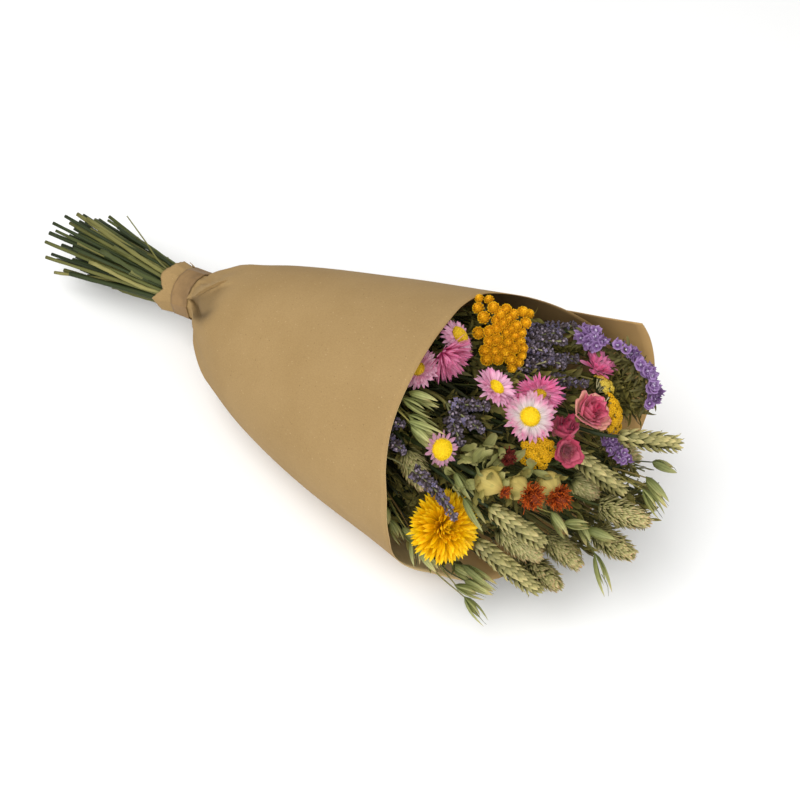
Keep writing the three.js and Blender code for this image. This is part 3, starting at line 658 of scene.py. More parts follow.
def disc(radius, seed):
    heap, draw = fresh(seed)
    tall = 0.6 * radius
    heap.put(turned([[0, -0.2], [0.9 * radius, 0], [0.86 * radius, 0.45 * tall], [0.5 * radius, 0.86 * tall],
                     [0, 0.95 * tall]], 24), r=0.2)
    count = int(5.2 * radius ** 2) + 40
    pitch = radius * math.sqrt(math.pi / count)
    floret = turned([[0, -0.3], [0.42 * pitch, 0], [0.5 * pitch, 0.5 * pitch], [0.3 * pitch, 0.85 * pitch],
                     [0, 0.7 * pitch]], 6)
    for i in range(count):
        share = math.sqrt((i + 0.5) / count)
        a = i * GOLDEN
        z = tall * math.sqrt(max(1 - 0.92 * share ** 2, 0.02))
        size = draw.uniform(0.85, 1.15) * (1.0 if share > 0.3 else 0.8)
        heap.put(scaled(floret, size), polar(0.97 * radius * share, a, z - 0.2),
                 rot_z(a) @ rot_y(1.1 * share ** 2), 0.75 * draw.random() + 0.25 * (1 - share))
    return heap


def pink_skin(name, *stops, streak=0.12):
    return petal_skin(name + "_petal", stops, streak=streak, glow=0.35)


WHITE_PINK = pink_skin("white_pink", (0, 230, 220, 214), (0.45, 232, 216, 216), (0.75, 230, 186, 200),
                       (1, 212, 130, 164))
LIGHT_PINK = pink_skin("light_pink", (0, 236, 170, 200), (0.35, 240, 188, 212), (0.75, 244, 194, 216),
                       (1, 226, 150, 188), streak=0.25)
RIM_PINK = pink_skin("rim_pink", (0, 238, 180, 202), (0.45, 238, 168, 198), (0.8, 246, 206, 222),
                     (1, 226, 150, 186), streak=0.22)
MID_PINK = pink_skin("mid_pink", (0, 240, 160, 196), (0.3, 246, 164, 202), (0.75, 250, 150, 196),
                     (1, 236, 122, 176), streak=0.2)
MAGENTA = pink_skin("magenta", (0, 222, 78, 142), (0.35, 230, 102, 160), (0.7, 242, 164, 196),
                    (1, 234, 134, 178), streak=0.22)
HOT_PINK = pink_skin("hot_pink", (0, 255, 210, 228), (0.35, 255, 176, 212), (0.8, 255, 158, 202),
                     (1, 248, 132, 188), streak=0.2)
PALE_MAUVE = pink_skin("pale_mauve", (0, 222, 186, 196), (0.5, 212, 166, 186), (1, 198, 142, 168), streak=0.2)


def place_daisy(name, root, direction, radius, eye, slopes, seed, skin, centre, bend=26.0,
                slot="petal_pink", **more):
    petals = daisy(radius, eye, slopes, seed, **more).place(root, direction)
    petals.piece(name + "_petals", [skin, LEAF], [name], slot)
    florets = disc(1.06 * eye, seed).place(vec(*root) + 1.2 * direction, direction)
    florets.piece(name + "_florets", [centre], [name + "_disc"], "flower_disc")
    head_stalk(root, direction, bend=bend)


place_daisy("daisy_front", [145, -25, 170], facing(1, 0.15, 0.3), 20, 7, [0.05, 0.3], 3, WHITE_PINK,
            FLORET_YELLOW)
place_daisy("daisy_upper", [115, -25, 180], facing(0.55, 0.5, 0.5), 18, 5.8, [-0.05, 0.4], 5, LIGHT_PINK,
            FLORET_YELLOW)
place_daisy("daisy_back", [65, 0, 180], facing(0.5, 0.62, 0.4), 16, 7.2, [-0.5, -0.1], 7, LIGHT_PINK,
            FLORET_MUSTARD)
place_daisy("daisy_rim", [58, -37, 173], facing(0.8, -0.3, 0.3), 17, 5, [0, 0.3], 11, RIM_PINK,
            FLORET_MUSTARD)
place_daisy("daisy_behind", [132, 7, 160], facing(0.7, 0, -0.6), 20, 5, [0.05, 0.4], 13, MID_PINK,
            FLORET_MUSTARD, bend=10.0, count=36, wide=0.11)
place_daisy("daisy_low", [105, -75, 155], facing(0.9, 0.45, -0.05), 14, 7.5, [0.0, 0.4], 17, PALE_MAUVE,
            FLORET_YELLOW, slot="petal_pale_pink", count=12, layers=3)


def half_closed(radius, seed, count, layers, wide):
    """Petals in a cup that rise from a small hub."""
    heap, draw = fresh(seed)
    for k in range(layers):
        share = k / (layers - 1)
        for i in range(count):
            a = TAU * (i + 0.5 * (k % 2) + 0.2 * draw.normal()) / count
            rise = 0.38 + 0.7 * share + 0.1 * draw.normal()
            length = radius * draw.uniform(0.85, 1.02) * (1 - 0.12 * share)
            form = leaf(length, wide * radius * draw.uniform(0.8, 1.1), 8, 3, root=0.4, belly=0.6, point=0.7,
                        rise=rise, curl=draw.uniform(0.0, 0.45), cup=0.3, twist=0.3 * draw.normal())
            origin = polar(2.4 * (1 - 0.5 * share), a, 0.6 + 0.5 * share)
            heap.put(form, origin, rot_z(a) @ rot_x(0.2 * draw.normal()), draw.random())
    heap.put(turned([[0, -0.5], [2.2, 0], [2.6, 1.2], [1.4, 2.2], [0, 2.4]], 12), r=0.4, skin=1)
    return heap


half_closed(22, 19, 36, 6, 0.1).place([65, -19, 181], facing(0.34, 0.68, -0.62)).piece(
    "daisy_closing_petals", [MAGENTA, LEAF], ["daisy_closing"], "petal_pink")
head_stalk([70, -16, 179], facing(0.5, 0.3, -0.8), bend=6.0)
head(half_closed(14.5, 23, 15, 5, 0.25), [140, 75, 130], facing(0.7, 0.3, 0.6), "daisy_small", "_petals",
     [HOT_PINK, LEAF], "petal_pink")


# Strawflower: many narrow pointed bracts in rings that rise towards the middle
def strawflower(radius, seed):
    heap, draw = fresh(seed)
    rings = [(1.0, 54, -0.12, 1.0), (0.99, 54, 0.0, 1.3), (0.95, 50, 0.12, 1.6), (0.89, 46, 0.25, 1.9),
             (0.81, 42, 0.4, 2.2), (0.72, 36, 0.58, 2.6), (0.62, 30, 0.78, 3.0), (0.52, 24, 1.0, 3.3),
             (0.42, 18, 1.22, 3.6), (0.32, 13, 1.45, 3.8)]
    for k, (reach, count, rise, base) in enumerate(rings):
        hub = 0.15 * radius * (1 - 0.06 * k)
        length = (reach * radius - hub) * (1.0 if k < 4 else 1.05)
        for i in range(count):
            a = TAU * (i + 0.5 * (k % 2) + 0.25 * draw.normal()) / count
            form = leaf(length * draw.uniform(0.92, 1.03), 0.118 * radius * draw.uniform(0.85, 1.12), 9, 5,
                        root=0.5, belly=0.66, point=0.8, rise=rise + 0.08 * draw.normal(),
                        curl=draw.uniform(-0.1, 0.3) + (0.55 if k > 4 else 0), cup=0.75,
                        twist=0.25 * draw.normal())
            heap.put(form, polar(hub, a, base), rot_z(a) @ rot_x(0.25 * draw.normal()), draw.random())
    heap.put(turned([[0, -1], [3, -0.6], [5.5, 0.6], [4.5, 3], [2.5, 4.0], [0, 4.2]], 18), r=0.1)
    for i in range(40):
        share = math.sqrt((i + 0.5) / 40)
        a = i * GOLDEN
        form = leaf(3.6 - 1.2 * share, 1.1, 4, 3, rise=1.5 - 0.3 * share, curl=0.5, cup=0.4)
        heap.put(form, polar(3.4 * share, a, 3.6), rot_z(a), draw.random(), 1)
    heap.crown(leaf(7.5, 3.0, 4, 3, rise=0.15, curl=0.25, cup=0.3), 24, 2.2, -0.9, draw.random, 2)
    return heap


STRAW = [petal_skin("golden_bract", [(0, 226, 168, 0), (0.4, 240, 193, 0), (0.75, 249, 205, 4),
                                     (1, 255, 220, 40)], streak=0.1, vary=0.14, glow=0.35, roughness=0.45),
         petal_skin("strawflower_eye", [(0, 170, 122, 12), (0.6, 222, 166, 8), (1, 246, 196, 20)],
                    vary=0.25, glow=0.2),
         petal_skin("strawflower_back", [(0, 150, 120, 50), (1, 220, 170, 50)], vary=0.3, glow=0.1)]
head(strawflower(28, 29), [123, -95, 102], facing(0.85, 0.4, 0), "strawflower", "_bracts", STRAW,
     "petal_gold", 2.0, 4.0)


# Golden button heads: balls of small scales round a paler eye
def button_ball(seed):
    """A ball of radius 1."""
    heap, draw = fresh(seed)
    heap.put(turned([[0, -1], [0.6, -0.75], [0.86, -0.1], [0.72, 0.45], [0.36, 0.66], [0, 0.6]], 12))
    scale = leaf(0.62, 0.5, 4, 3, root=0.7, belly=0.5, point=0.6, rise=0.35, curl=0.6, cup=0.5)
    for i in range(46):
        share = (i + 0.5) / 46
        steep = 0.25 + 2.0 * share
        out = polar(math.sin(steep), i * GOLDEN, math.cos(steep))
        up = unit(vec(0, 0, 1) - out * out[2] + vec(0.001, 0, 0))
        turn = np.column_stack([up, np.cross(out, up), out])
        # Painted light and shade: scales near the top of each ball get a lighter tone, and those lower down a
        # darker one, as if lit from above with shade in the gaps between balls.
        heap.put(scale, out * 0.78, turn, 1 - share ** 0.8 + 0.15 * draw.normal())
    for i in range(9):
        eye = turned([[0, 0], [0.1, 0.1], [0, 0.28]], 5)
        heap.put(eye, polar(0.1 * math.sqrt(i), i * GOLDEN, 0.66), r=0.9, skin=1)
    return heap


# Up, left and size of each ball in the cluster
BALLS = ((29, 14, 3.0), (28, 7, 3.2), (22, 15, 3.8), (15, 11, 4.2), (4, 15, 4.0), (22, 4, 4.0),
         (21, -5, 3.6), (17, -1, 4.2), (17, -10, 3.8), (19, -17, 3.9), (18, -22, 3.3), (11, -19, 3.8),
         (14, -7, 3.2), (13, 2, 3.4), (11, -3, 3.8), (9, -12, 3.6), (5, 7, 3.9), (7, 2, 3.8), (7, -9, 3.4),
         (4, -5, 3.3), (4, -16, 3.3), (2, -11, 3.3), (-1, 2, 3.9), (-2, 7, 4.0), (-3, -6, 4.1),
         (-2, -15, 3.4), (-9, 10, 4.2), (-9, 3, 3.8), (-6, -1, 3.1), (-10, -4, 3.9), (-7, -11, 3.8),
         (-7, -17, 3.4), (-12, -16, 3.3), (-15, 9, 4.2), (-15, 1, 3.9), (-15, -8, 3.9), (-17, -14, 3.4),
         (-21, -9, 3.4))


def gold_buttons():
    heap, draw = fresh(31)
    whole = button_ball(5).merged()
    for up, left, size in BALLS:
        far = math.hypot(up / 31, left / 25)
        p = vec(up, left, 13 * math.sqrt(max(1 - far ** 2, 0.03)) - 2 + draw.uniform(-1.3, 1.3))
        turn = rot_z(math.atan2(left, up)) @ rot_y(0.8 * far + 0.15 * draw.normal())
        heap.stamp(whole, p, turn, size, draw.random(), 0.75)
        foot = vec(0.25 * up, 0.25 * left, 1.0)
        path = spline([foot, 0.5 * (foot + p) + vec(0, 0, -2.5), p], 6)
        heap.put(tube(path, 0.6, 5), r=draw.random(), skin=2)
    base = turned([[0, -0.2], [5, 0.3], [10, 2.5], [7, 5], [0, 5.5]], 12)
    heap.put(base, turn=np.diag([1.3, 1, 1]), r=0.4, skin=2)
    return heap


BUTTON = grain_skin("golden_buttons", [(0, 176, 120, 6), (0.3, 224, 164, 8), (0.7, 242, 190, 18),
                                       (1, 250, 210, 60)], 0.9, 900.0, 0.12, 0.2)
BUTTON_EYE = grain_skin("button_eyes", [(0, 214, 164, 34), (1, 236, 196, 70)], 0.85)
gold_buttons().place([82, 28, 166], facing(1, 0, 0)).piece(
    "gold_button_heads", [BUTTON, BUTTON_EYE, GREY_GREEN], ["gold_buttons"], "mustard_floret")
head_stalk([81, 30, 168], facing(1, 0, 0), 2.0, 3.0)


# Yarrow: small tufts of florets on a branching stalk
def dome_places(across, tall, count, seed):
    """Places and turns over a dome, as in the CAD source."""
    draw = np.random.default_rng(seed)
    for i in range(count):
        a = i * GOLDEN
        r = 0.9 * across * math.sqrt((i + 0.4) / count)
        z = 0.7 * across * math.sqrt(max(1 - (r / (1.08 * across)) ** 2, 0))
        p = vec(tall * r * math.cos(a), r * math.sin(a), z) + 0.5 * draw.normal(size=3)
        yield p, rot_z(a) @ rot_y(0.9 * r / across)


def yarrow(across, tall, tufts, seed, size, core):
    heap, draw = fresh(seed)
    floret = Heap()
    floret.put(turned([[0, -0.4], [0.55, -0.1], [0.8, 0.4], [0.6, 0.85], [0.2, 0.95], [0, 0.8]], 7), r=0.5)
    petal = leaf(0.7, 0.75, 3, 3, root=0.6, point=0.5, rise=-0.1, curl=-0.4, cup=0.2)
    floret.crown(petal, 5, 0.5, 0.5, lambda: 0.8)
    whole = floret.merged()
    count = int(7 + size * 3)
    for p, turn in dome_places(across, tall, tufts, seed):
        for i in range(count):
            a = i * GOLDEN + seed
            d = size * math.sqrt((i + 0.3) / count)
            q = p + turn @ polar(d, a, 0.55 * size * math.sqrt(max(1 - (d / size) ** 2 * 0.9, 0)))
            spin = turn @ rot_z(a) @ rot_y(0.5 * d / size)
            heap.stamp(whole, q, spin, draw.uniform(0.8, 1.15), draw.random())
        foot = vec(0.12 * p[0], 0.12 * p[1], -3.0)
        path = spline([foot, 0.55 * (foot + p) + vec(0, 0, -0.6), p - turn @ vec(0, 0, 0.5)], 6)
        heap.put(tube(path, [0.75, 0.65, 0.55, 0.5, 0.5, 0.8], 5), r=draw.random(), skin=1)
    if core:
        profile = [[0, 0.4], [0.5 * across, 0.24 * across], [0.74 * across, 0.44 * across],
                   [0.42 * across, 0.6 * across], [0, 0.64 * across]]
        heap.put(turned(profile, 12), turn=np.diag([tall, 1, 1]))
    return heap


YARROW = grain_skin("yarrow_florets", [(0, 150, 98, 4), (0.5, 220, 164, 8), (1, 242, 196, 30)], 0.65, 1500.0,
                    0.15, 0.1)
YARROW_DULL = grain_skin("dull_yarrow_florets", [(0, 150, 124, 30), (0.5, 196, 166, 48), (1, 220, 200, 96)],
                         0.65, 1500.0)
WHITE_STALK = stem_skin("pale_stalks", [(0, 150, 142, 92), (1, 206, 198, 150)], 0.1)
for name, root, direction, args, skin, stem in (
        ("yarrow_front", [149, -17, 132], facing(1, -0.1, -0.2), (12, 1.35, 16, 37, 3.4, True), YARROW,
         (1.5, 3.0)),
        ("yarrow_side", [165, 48, 120], facing(0.35, 0.9, 0.1), (14.5, 1.1, 20, 41, 3.2, True), YARROW,
         (1.5, 3.0, 8.0)),
        ("yarrow_small", [150, 66, 124], facing(0.3, 0.6, 0.6), (9, 1.0, 12, 43, 2.4, False), YARROW_DULL,
         (1.5, 2.5))):
    head(yarrow(*args), root, direction, name, "_heads", [skin, WHITE_STALK], "mustard_floret", *stem)


# Roses: cupped petals with a rolled lip, wrapped round each other
def rose(radius, seed, tall, layers, openness):
    heap, draw = fresh(seed)
    v = np.linspace(0, 1, 11)[:, None]
    h = np.linspace(-1, 1, 17)[None, :]
    for k in range(layers + 2):
        share = k / (layers + 1)
        count = (4, 4, 4, 3, 3, 3, 2)[min(k, 6)]
        outer = radius * (1.0 - 0.86 * share ** 0.9)
        flare = 0.34 * radius * openness * (1 - share) ** 1.1
        for i in range(count):
            centre = TAU * (i + 0.5 * (k % 2)) / count + 0.45 * draw.normal() + 0.7 * k
            half = (0.8 + 0.45 * draw.random()) * math.pi / count * 1.35
            size = draw.uniform(0.84, 1.06)
            height = radius * tall * (0.8 + 0.34 * share) * draw.uniform(0.85, 1.12)
            tip = 0.16 * np.exp(-(h / 0.35) ** 2) * draw.uniform(-0.3, 1.3)
            drop = 1 - draw.uniform(0.26, 0.5) * np.abs(h) ** 2.2 + tip
            belly = np.sin(np.pi * np.clip(v * draw.uniform(0.55, 0.68), 0, 1)) ** 0.8
            r = 0.12 * radius + (outer * size * 0.92 - 0.12 * radius) * belly
            lip = smoothstep(v, 0.62, 1.0)
            waves = np.sin(h * draw.uniform(5, 9) + 6 * draw.random()) * v ** 2.5
            waves = 0.09 * radius * waves + 0.045 * radius * np.sin(h * 15 + 6 * draw.random()) * v ** 4
            side = draw.uniform(-0.09, 0.09) * radius * h
            r = r + flare * lip * (1 - 0.45 * np.abs(h)) * draw.uniform(0.6, 1.5)
            r = r + waves * (1 - 0.6 * share) + side
            z = height * (v ** 1.05) * drop - 0.55 * flare * smoothstep(v, 0.84, 1.0) + 0.8 * waves
            a = centre + h * half * (0.5 + 0.5 * np.sin(np.pi * np.clip(v * 0.55 + 0.1, 0, 1)))
            heap.put(rolled(r, a, z, v, h), r=min(0.999, share + 0.16 * draw.random()))
    v = np.linspace(0, 1, 7)[:, None]
    w = np.linspace(0, 1, 60)[None, :]
    a = 2.3 * TAU * w + 0 * v
    r = radius * (0.05 + 0.17 * w) * (1 + 0.3 * smoothstep(v, 0.6, 1.0)) * (1 + 0.1 * np.sin(3 * a))
    z = radius * tall * (0.2 + (0.84 + 0.08 * np.sin(w * 17)) * v)
    heap.put(rolled(r, a, z, v, 2 * w - 1), r=0.95)
    for i in range(5):
        a = TAU * i / 5 + 0.2 * draw.normal()
        form = leaf(0.95 * radius, 0.4 * radius, 8, 3, root=0.8, belly=0.3, point=1.1, rise=0.3, curl=-0.9,
                    cup=0.4, twist=0.4 * draw.normal())
        heap.put(form, polar(0.1 * radius, a, 0.1), rot_z(a), draw.random(), 1)
    hip = turned([[0, -0.8], [0.16 * radius, -0.4], [0.26 * radius, 1.2], [0.2 * radius, 2.6], [0, 3]], 12)
    heap.put(hip, r=0.5, skin=1)
    return heap


ROSE_PINK = rose_skin("open_rose_petal", (232, 184, 148), (224, 112, 138), (184, 34, 74), (188, 56, 94))
ROSE_DEEP = rose_skin("rose_bud_petal", (200, 90, 112), (188, 66, 98), (156, 32, 64), (146, 38, 68))
ROSE_DARK = rose_skin("small_rose_petal", (172, 56, 82), (190, 86, 108), (200, 102, 116), (126, 20, 46))
for name, root, direction, args, skin, flare in (
        ("rose_open", [160, 27, 137], facing(0.74, 0.55, 0.35), (13.6, 47, 1.05, 5, 0.6), ROSE_PINK, 3.5),
        ("rose_bud", [160, -2, 140], facing(0.62, 0.15, 0.72), (10.2, 53, 1.35, 4, 0.2), ROSE_DEEP, 3.0),
        ("rose_small", [168, -11, 138], facing(1, 0.3, -0.1), (9.4, 59, 1.0, 4, 0.8), ROSE_DARK, 3.0)):
    head(rose(*args), root, direction, name, "_petals", [skin, LEAF], "petal_rose", 2.0, flare)


def leaf_spray(length, leaves, seed):
    heap, draw = fresh(seed)
    heap.put(rod([0.35 * length * k for k in range(3)], [0.8, 0.7, 0.5]), r=0.4, skin=1)
    for i in range(leaves):
        a = i * 2.6 + 0.5 * draw.random()
        form = leaf(0.6 * length * draw.uniform(0.85, 1.1), 7.5, 10, 5, root=0.2, belly=0.45, point=0.85,
                    rise=0.75, curl=draw.uniform(-0.6, 0.3), cup=0.35, twist=0.5 * draw.normal(), wave=0.8,
                    phase=6 * draw.random())
        heap.put(form, vec(0, 0, 0.62 * length * i / (leaves - 1)), rot_z(a), draw.random())
    return heap


leaf_spray(22, 7, 61).place([143, 4, 140], facing(0.5, -0.3, 0.6)).piece(
    "rose_leaf_spray", [LEAF, STEM], ["rose_leaves"], "dry_leaf")
head_stalk([143, 4, 140], facing(0.5, -0.3, 0.6))


# Statice: papery funnels along a curve, with winged green stalks behind them
def funnel(radius, seed):
    draw = np.random.default_rng(seed)
    v = np.linspace(0, 1, 7)[:, None]
    a = np.arange(18)[None, :] * TAU / 18
    pleat = np.cos(4 * a + draw.random() * 6)
    tear = np.cos(7 * a + 6 * draw.random())
    r = radius * (0.2 + 0.8 * v ** 1.25) * (1 + (0.1 * pleat + 0.09 * tear) * v ** 2)
    z = radius * (1.15 * v - 0.5 * v ** 3 * (1 - pleat * 0.5) + 0.24 * tear * v ** 3)
    return rolled(r, a, z, v, pleat, True)


def statice(line, outward, count, seed, flower):
    """Flowers along a line of 40 points."""
    heap, draw = fresh(seed)
    slopes = np.gradient(line, axis=0)
    heap.put(tube(line, 1.1, 6), r=0.3, skin=1)
    total = int(count * 10.5)
    for i in range(total):
        at = int((i + 0.5) / total * 39)
        root = line[at]
        tangent = unit(slopes[at])
        swing = draw.uniform(-1.8, 1.8)
        direction = unit(outward + 0.35 * FRONT + swing * unit(np.cross(tangent, outward))
                         + 0.5 * draw.normal() * tangent)
        size = flower * draw.uniform(0.45, 0.72)
        lift = flower * draw.uniform(0.0, 0.9)
        turn = axes(direction, draw.uniform(0, 6))
        heap.put(funnel(size, seed + i), root + direction * lift, turn, draw.random())
        neck = spline([root, root + direction * (lift + 0.5)], 4)
        heap.put(tube(neck, [0.9, 0.7, 0.7, 0.9], 5), r=draw.random(), skin=1)
        heart = turned([[0, 0], [0.14 * size, 0.2 * size], [0.2 * size, 0.7 * size], [0, 0.85 * size]], 6)
        heap.put(heart, root + direction * lift, turn, draw.random(), 2)
    for _ in range(total * 2):
        root = line[int(draw.random() * 39)]
        back = unit(-0.9 * outward - 0.25 * FRONT + 0.75 * draw.normal(size=3))
        form = leaf(draw.uniform(5, 11), draw.uniform(1.6, 3.2), 6, 3, rise=0.2, curl=draw.uniform(-0.8, 0.8),
                    cup=0.4, twist=draw.normal())
        heap.put(form, root + back * draw.uniform(0, 9), axes(back) @ rot_y(-math.pi / 2), draw.random(), 1)
    return heap


STATICE_LEAF = petal_skin("statice_leaf", [(0, 74, 70, 34), (1, 106, 100, 52)], vary=0.35, glow=0.05)
STATICE = [petal_skin("statice_calyx", [(0, 158, 140, 150), (0.2, 140, 104, 152), (0.6, 136, 96, 156),
                                        (1, 174, 142, 190)], streaks=6.0, vary=0.32, glow=0.35),
           STATICE_LEAF,
           petal_skin("statice_heart", [(0, 176, 158, 200), (1, 206, 190, 214)], vary=0.2, glow=0.2)]


def crest(name, path, outward, count, flower, seed):
    flowers = statice(spline(path, 40), outward, count, seed, flower)
    flowers.piece(name + "_calyces", STATICE, [name], "petal_purple")
    head_stalk(path[0], unit(vec(*path[1]) - path[0]), bend=14.0)


crest("statice_upper", [[114, 90, 140], [125, 86, 146], [136, 81, 147]], facing(0.8, -0.1, 0.4), 5, 7.2, 67)
crest("statice_arc", [[144, 92, 142], [160, 88, 144], [174, 84, 141], [185, 78, 132], [186, 72, 122]],
      facing(0.4, 0.7, 0.4), 8, 6.8, 71)
crest("statice_low", [[174, 34, 114], [183, 36, 107], [194, 34, 100]], facing(1, 0, 0.3), 2.2, 5.4, 73)


# Lavender: whorls of small ribbed calyces, some with an open corolla
CALYX = turned([[0, 0], [0.5, 0.5], [0.95, 2.2], [1.0, 4.2], [1.2, 5.6], [0.7, 5.3], [0, 4.0]], 7,
               lambda k, a: 0.12 * np.cos(a * 3.5) * (k > 1))


def lavender(heap, root, tip, seed, bare):
    draw = np.random.default_rng(seed)
    way = tip - root
    length = np.linalg.norm(way)
    turn = axes(way, seed)
    corolla = Heap()
    petal = leaf(1.7, 1.5, 4, 3, root=0.5, point=0.5, rise=0.5, curl=-0.9, cup=-0.2)
    corolla.crown(petal, 4, 0.3, 5.3, lambda: 0.7, 1)
    open_one = corolla.merged()
    whorls = max(5, int((length - bare) / 4.2))
    for k in range(whorls):
        share = k / (whorls - 1)
        s = bare + (length - bare - 5.0) * share
        reach = (6.4 - 2.0 * share) / 6.4
        count = 10 if share < 0.75 else 7
        for i in range(count):
            a = TAU * (i + 0.5 * (k % 2)) / count + 0.2 * draw.normal()
            spin = turn @ (rot_z(a) @ rot_y(1.0 - 0.4 * share + 0.3 * draw.normal()))
            size = reach * draw.uniform(0.88, 1.15)
            origin = root + turn @ polar(0.8, a, s + draw.uniform(-1.2, 1.2))
            tone = draw.random()
            heap.put(scaled(CALYX, size), origin, spin, tone)
            if draw.random() < 0.22:
                heap.stamp(open_one, origin, spin, size, tone)
    for i in range(5):
        a = TAU * i / 5
        origin = root + turn @ polar(0.3, a, length - 5.2)
        heap.put(scaled(CALYX, 0.8), origin, turn @ (rot_z(a) @ rot_y(0.35)), draw.random())
    line = [root + turn @ vec(0, 0, z) for z in np.linspace(0, length - 4, 6)]
    heap.put(tube(line, 0.7, 6), r=draw.random(), skin=2)


LAVENDER = [petal_skin("lavender_calyx", [(0, 67, 57, 44), (0.4, 93, 81, 80), (0.75, 96, 87, 104),
                                          (1, 166, 150, 158)], vary=0.45, glow=0.1),
            petal_skin("lavender_corolla", [(0, 104, 96, 132), (1, 128, 119, 154)], vary=0.3, glow=0.2),
            GREY_GREEN]


def spikes(name, root, tips, seed, in_cad=True, bow=0.0):
    heap = Heap()
    root = vec(*root)
    for i, (*tip, bare) in enumerate(tips):
        lavender(heap, root, vec(*tip), seed + i, bare)
    if bow:
        way = vec(*tips[0][:3]) - root
        for points in heap.points:
            share = np.clip((points - root) @ way / (way @ way), 0, 1)
            points += np.outer(4 * bow * share * (1 - share), facing(0.2, 0.65, 0.75))
    heap.piece(name + "_spikes", LAVENDER, [name] if in_cad else [], "lavender_spike")
    if in_cad:
        head_stalk(root, unit(np.mean([t[:3] for t in tips], axis=0) - root), bend=14.0)


spikes("lavender_back", [70, 60, 140], [[113, 88, 150, 14], [112, 68, 156, 12], [102, 52, 164, 12]], 79)
spikes("lavender_middle", [85, 35, 142], [[132, 62, 148, 14], [130, 46, 160, 10]], 83)
spikes("lavender_low", [95, 18, 146], [[124, 36, 164, 8], [150, 48, 144, 20], [142, 28, 142, 14]], 89)
spikes("lavender_left", [83, -38, 155], [[119, -36, 174, 8], [125, -52, 166, 10], [114, -62, 152, 12]], 97)
spikes("lavender_rim", [45, -75, 140], [[73, -74, 159, 6], [84, -88, 148, 8]], 101)
spikes("lavender_front", [55, -85, 125], [[138, -101, 127, 34]], 103, bow=8.0)
spikes("lavender_between", [75, 40, 150], [[126, 52, 171, 18], [124, 36, 171, 16], [134, 40, 160, 22],
                                           [116, 60, 168, 14]], 105, False)


# Safflower: a bulb of spotted bracts, leafy outer bracts and a tuft of thread florets
def safflower_bud(length, wide, leaves, seed):
    heap, draw = fresh(seed)

    def bulb(v):
        return wide * np.sin(np.pi * (0.1 + 0.83 * v) ** 0.9) ** 0.75 * (1 - 0.3 * smoothstep(v, 0.5, 1.0))

    v = np.linspace(0, 1, 14)[:, None]
    a = np.arange(30)[None, :] * TAU / 30
    r = bulb(v) * (1 + 0.05 * np.cos(5 * a + 4 * v) + 0.025 * np.cos(11 * a))
    heap.put(rolled(r, a, length * v, v, np.cos(a * 2), True), r=0.5)
    v = np.linspace(0, 1, 9)[:, None]
    u = np.linspace(-1, 1, 7)[None, :]
    for i in range(8):
        a = i * GOLDEN + u * 0.62 * np.sin(np.pi * np.clip(v * 0.92 + 0.12, 0, 1)) ** 0.6
        top = length * (0.04 + draw.uniform(0.7, 0.94) * v) * (1 - 0.06 * u ** 2)
        r = bulb(v) + 0.5 + 0.25 * i / 8 + 0.5 * smoothstep(v, 0.8, 1.0)
        heap.put(rolled(r, a, top, v, u), r=draw.random())
    for k in range(2):
        for i in range(leaves):
            b = TAU * (i + 0.5 * k) / leaves + 0.3 * draw.normal()
            form = leaf(length * draw.uniform(0.75, 1.0), 8.5 * draw.uniform(0.85, 1.1), 10, 5, root=0.55,
                        belly=0.45, point=0.75, rise=0.5 + 0.3 * k, curl=draw.uniform(-0.5, 0.8), cup=0.35,
                        twist=0.9 * draw.normal(), wave=0.9, phase=6 * draw.random())
            heap.put(form, polar(1.5, b, 0.05 * length), rot_z(b), draw.random(), 1)
    return heap


def thread_tuft(length, spread, seed, count):
    heap, draw = fresh(seed)
    heap.put(turned([[0, 0], [1.8, 0.5], [0.26 * spread, 0.4 * length], [0.2 * spread, 0.6 * length],
                     [0, 0.65 * length]], 10))
    for i in range(count):
        steep = 1.35 * math.sqrt((i + 0.5) / count) + 0.12 * draw.normal()
        out = polar(math.sin(steep), i * GOLDEN, math.cos(steep))
        size = draw.uniform(0.72, 1.02) * math.hypot(0.62 * spread * math.sin(steep),
                                                     length * math.cos(steep))
        bend = 0.16 * size * draw.normal(size=3)
        tip = out * size + 0.6 * bend + vec(0, 0, -0.06 * size)
        path = spline([out * 0.12 * size, out * 0.55 * size + bend, tip], 6)
        path[:, 2] = np.maximum(path[:, 2], 0.1)
        heap.put(tube(path, [0.42, 0.36, 0.32, 0.3, 0.34, 0.12], 4), r=draw.random())
        if i % 2:
            for _ in range(3):
                tip = path[-2] + 1.3 * unit(out + 0.8 * draw.normal(size=3))
                heap.put(tube(spline([path[-2], tip], 3), [0.24, 0.2, 0.08], 3), r=draw.random())
    return heap


BRACT = spotted_skin()
TUFT_ORANGE = petal_skin("orange_threads", [(0, 60, 12, 4), (0.35, 126, 38, 4), (0.75, 174, 68, 6),
                                            (1, 196, 92, 14)], vary=0.5, glow=0.1)
TUFT_RED = petal_skin("dark_red_threads", [(0, 52, 12, 10), (0.6, 98, 26, 20), (1, 128, 42, 28)], vary=0.4,
                      glow=0.05)


def safflower(name, root, direction, length, wide, leaves, seed, plume, threads):
    safflower_bud(length, wide, leaves, seed).place(root, direction).piece(
        name + "_bracts", [BRACT, LEAF], [name + "_bud"], "pale_green_bract")
    tuft = thread_tuft(1.15 * plume[0], 1.25 * plume[1], seed + 1, threads)
    tuft.place(vec(*root) + direction * (length + 0.4), direction).piece(
        name + "_threads", [TUFT_ORANGE], [name + "_tuft"], "floret_orange")
    head_stalk(root, direction, 2.2, 3.0, 12.0)


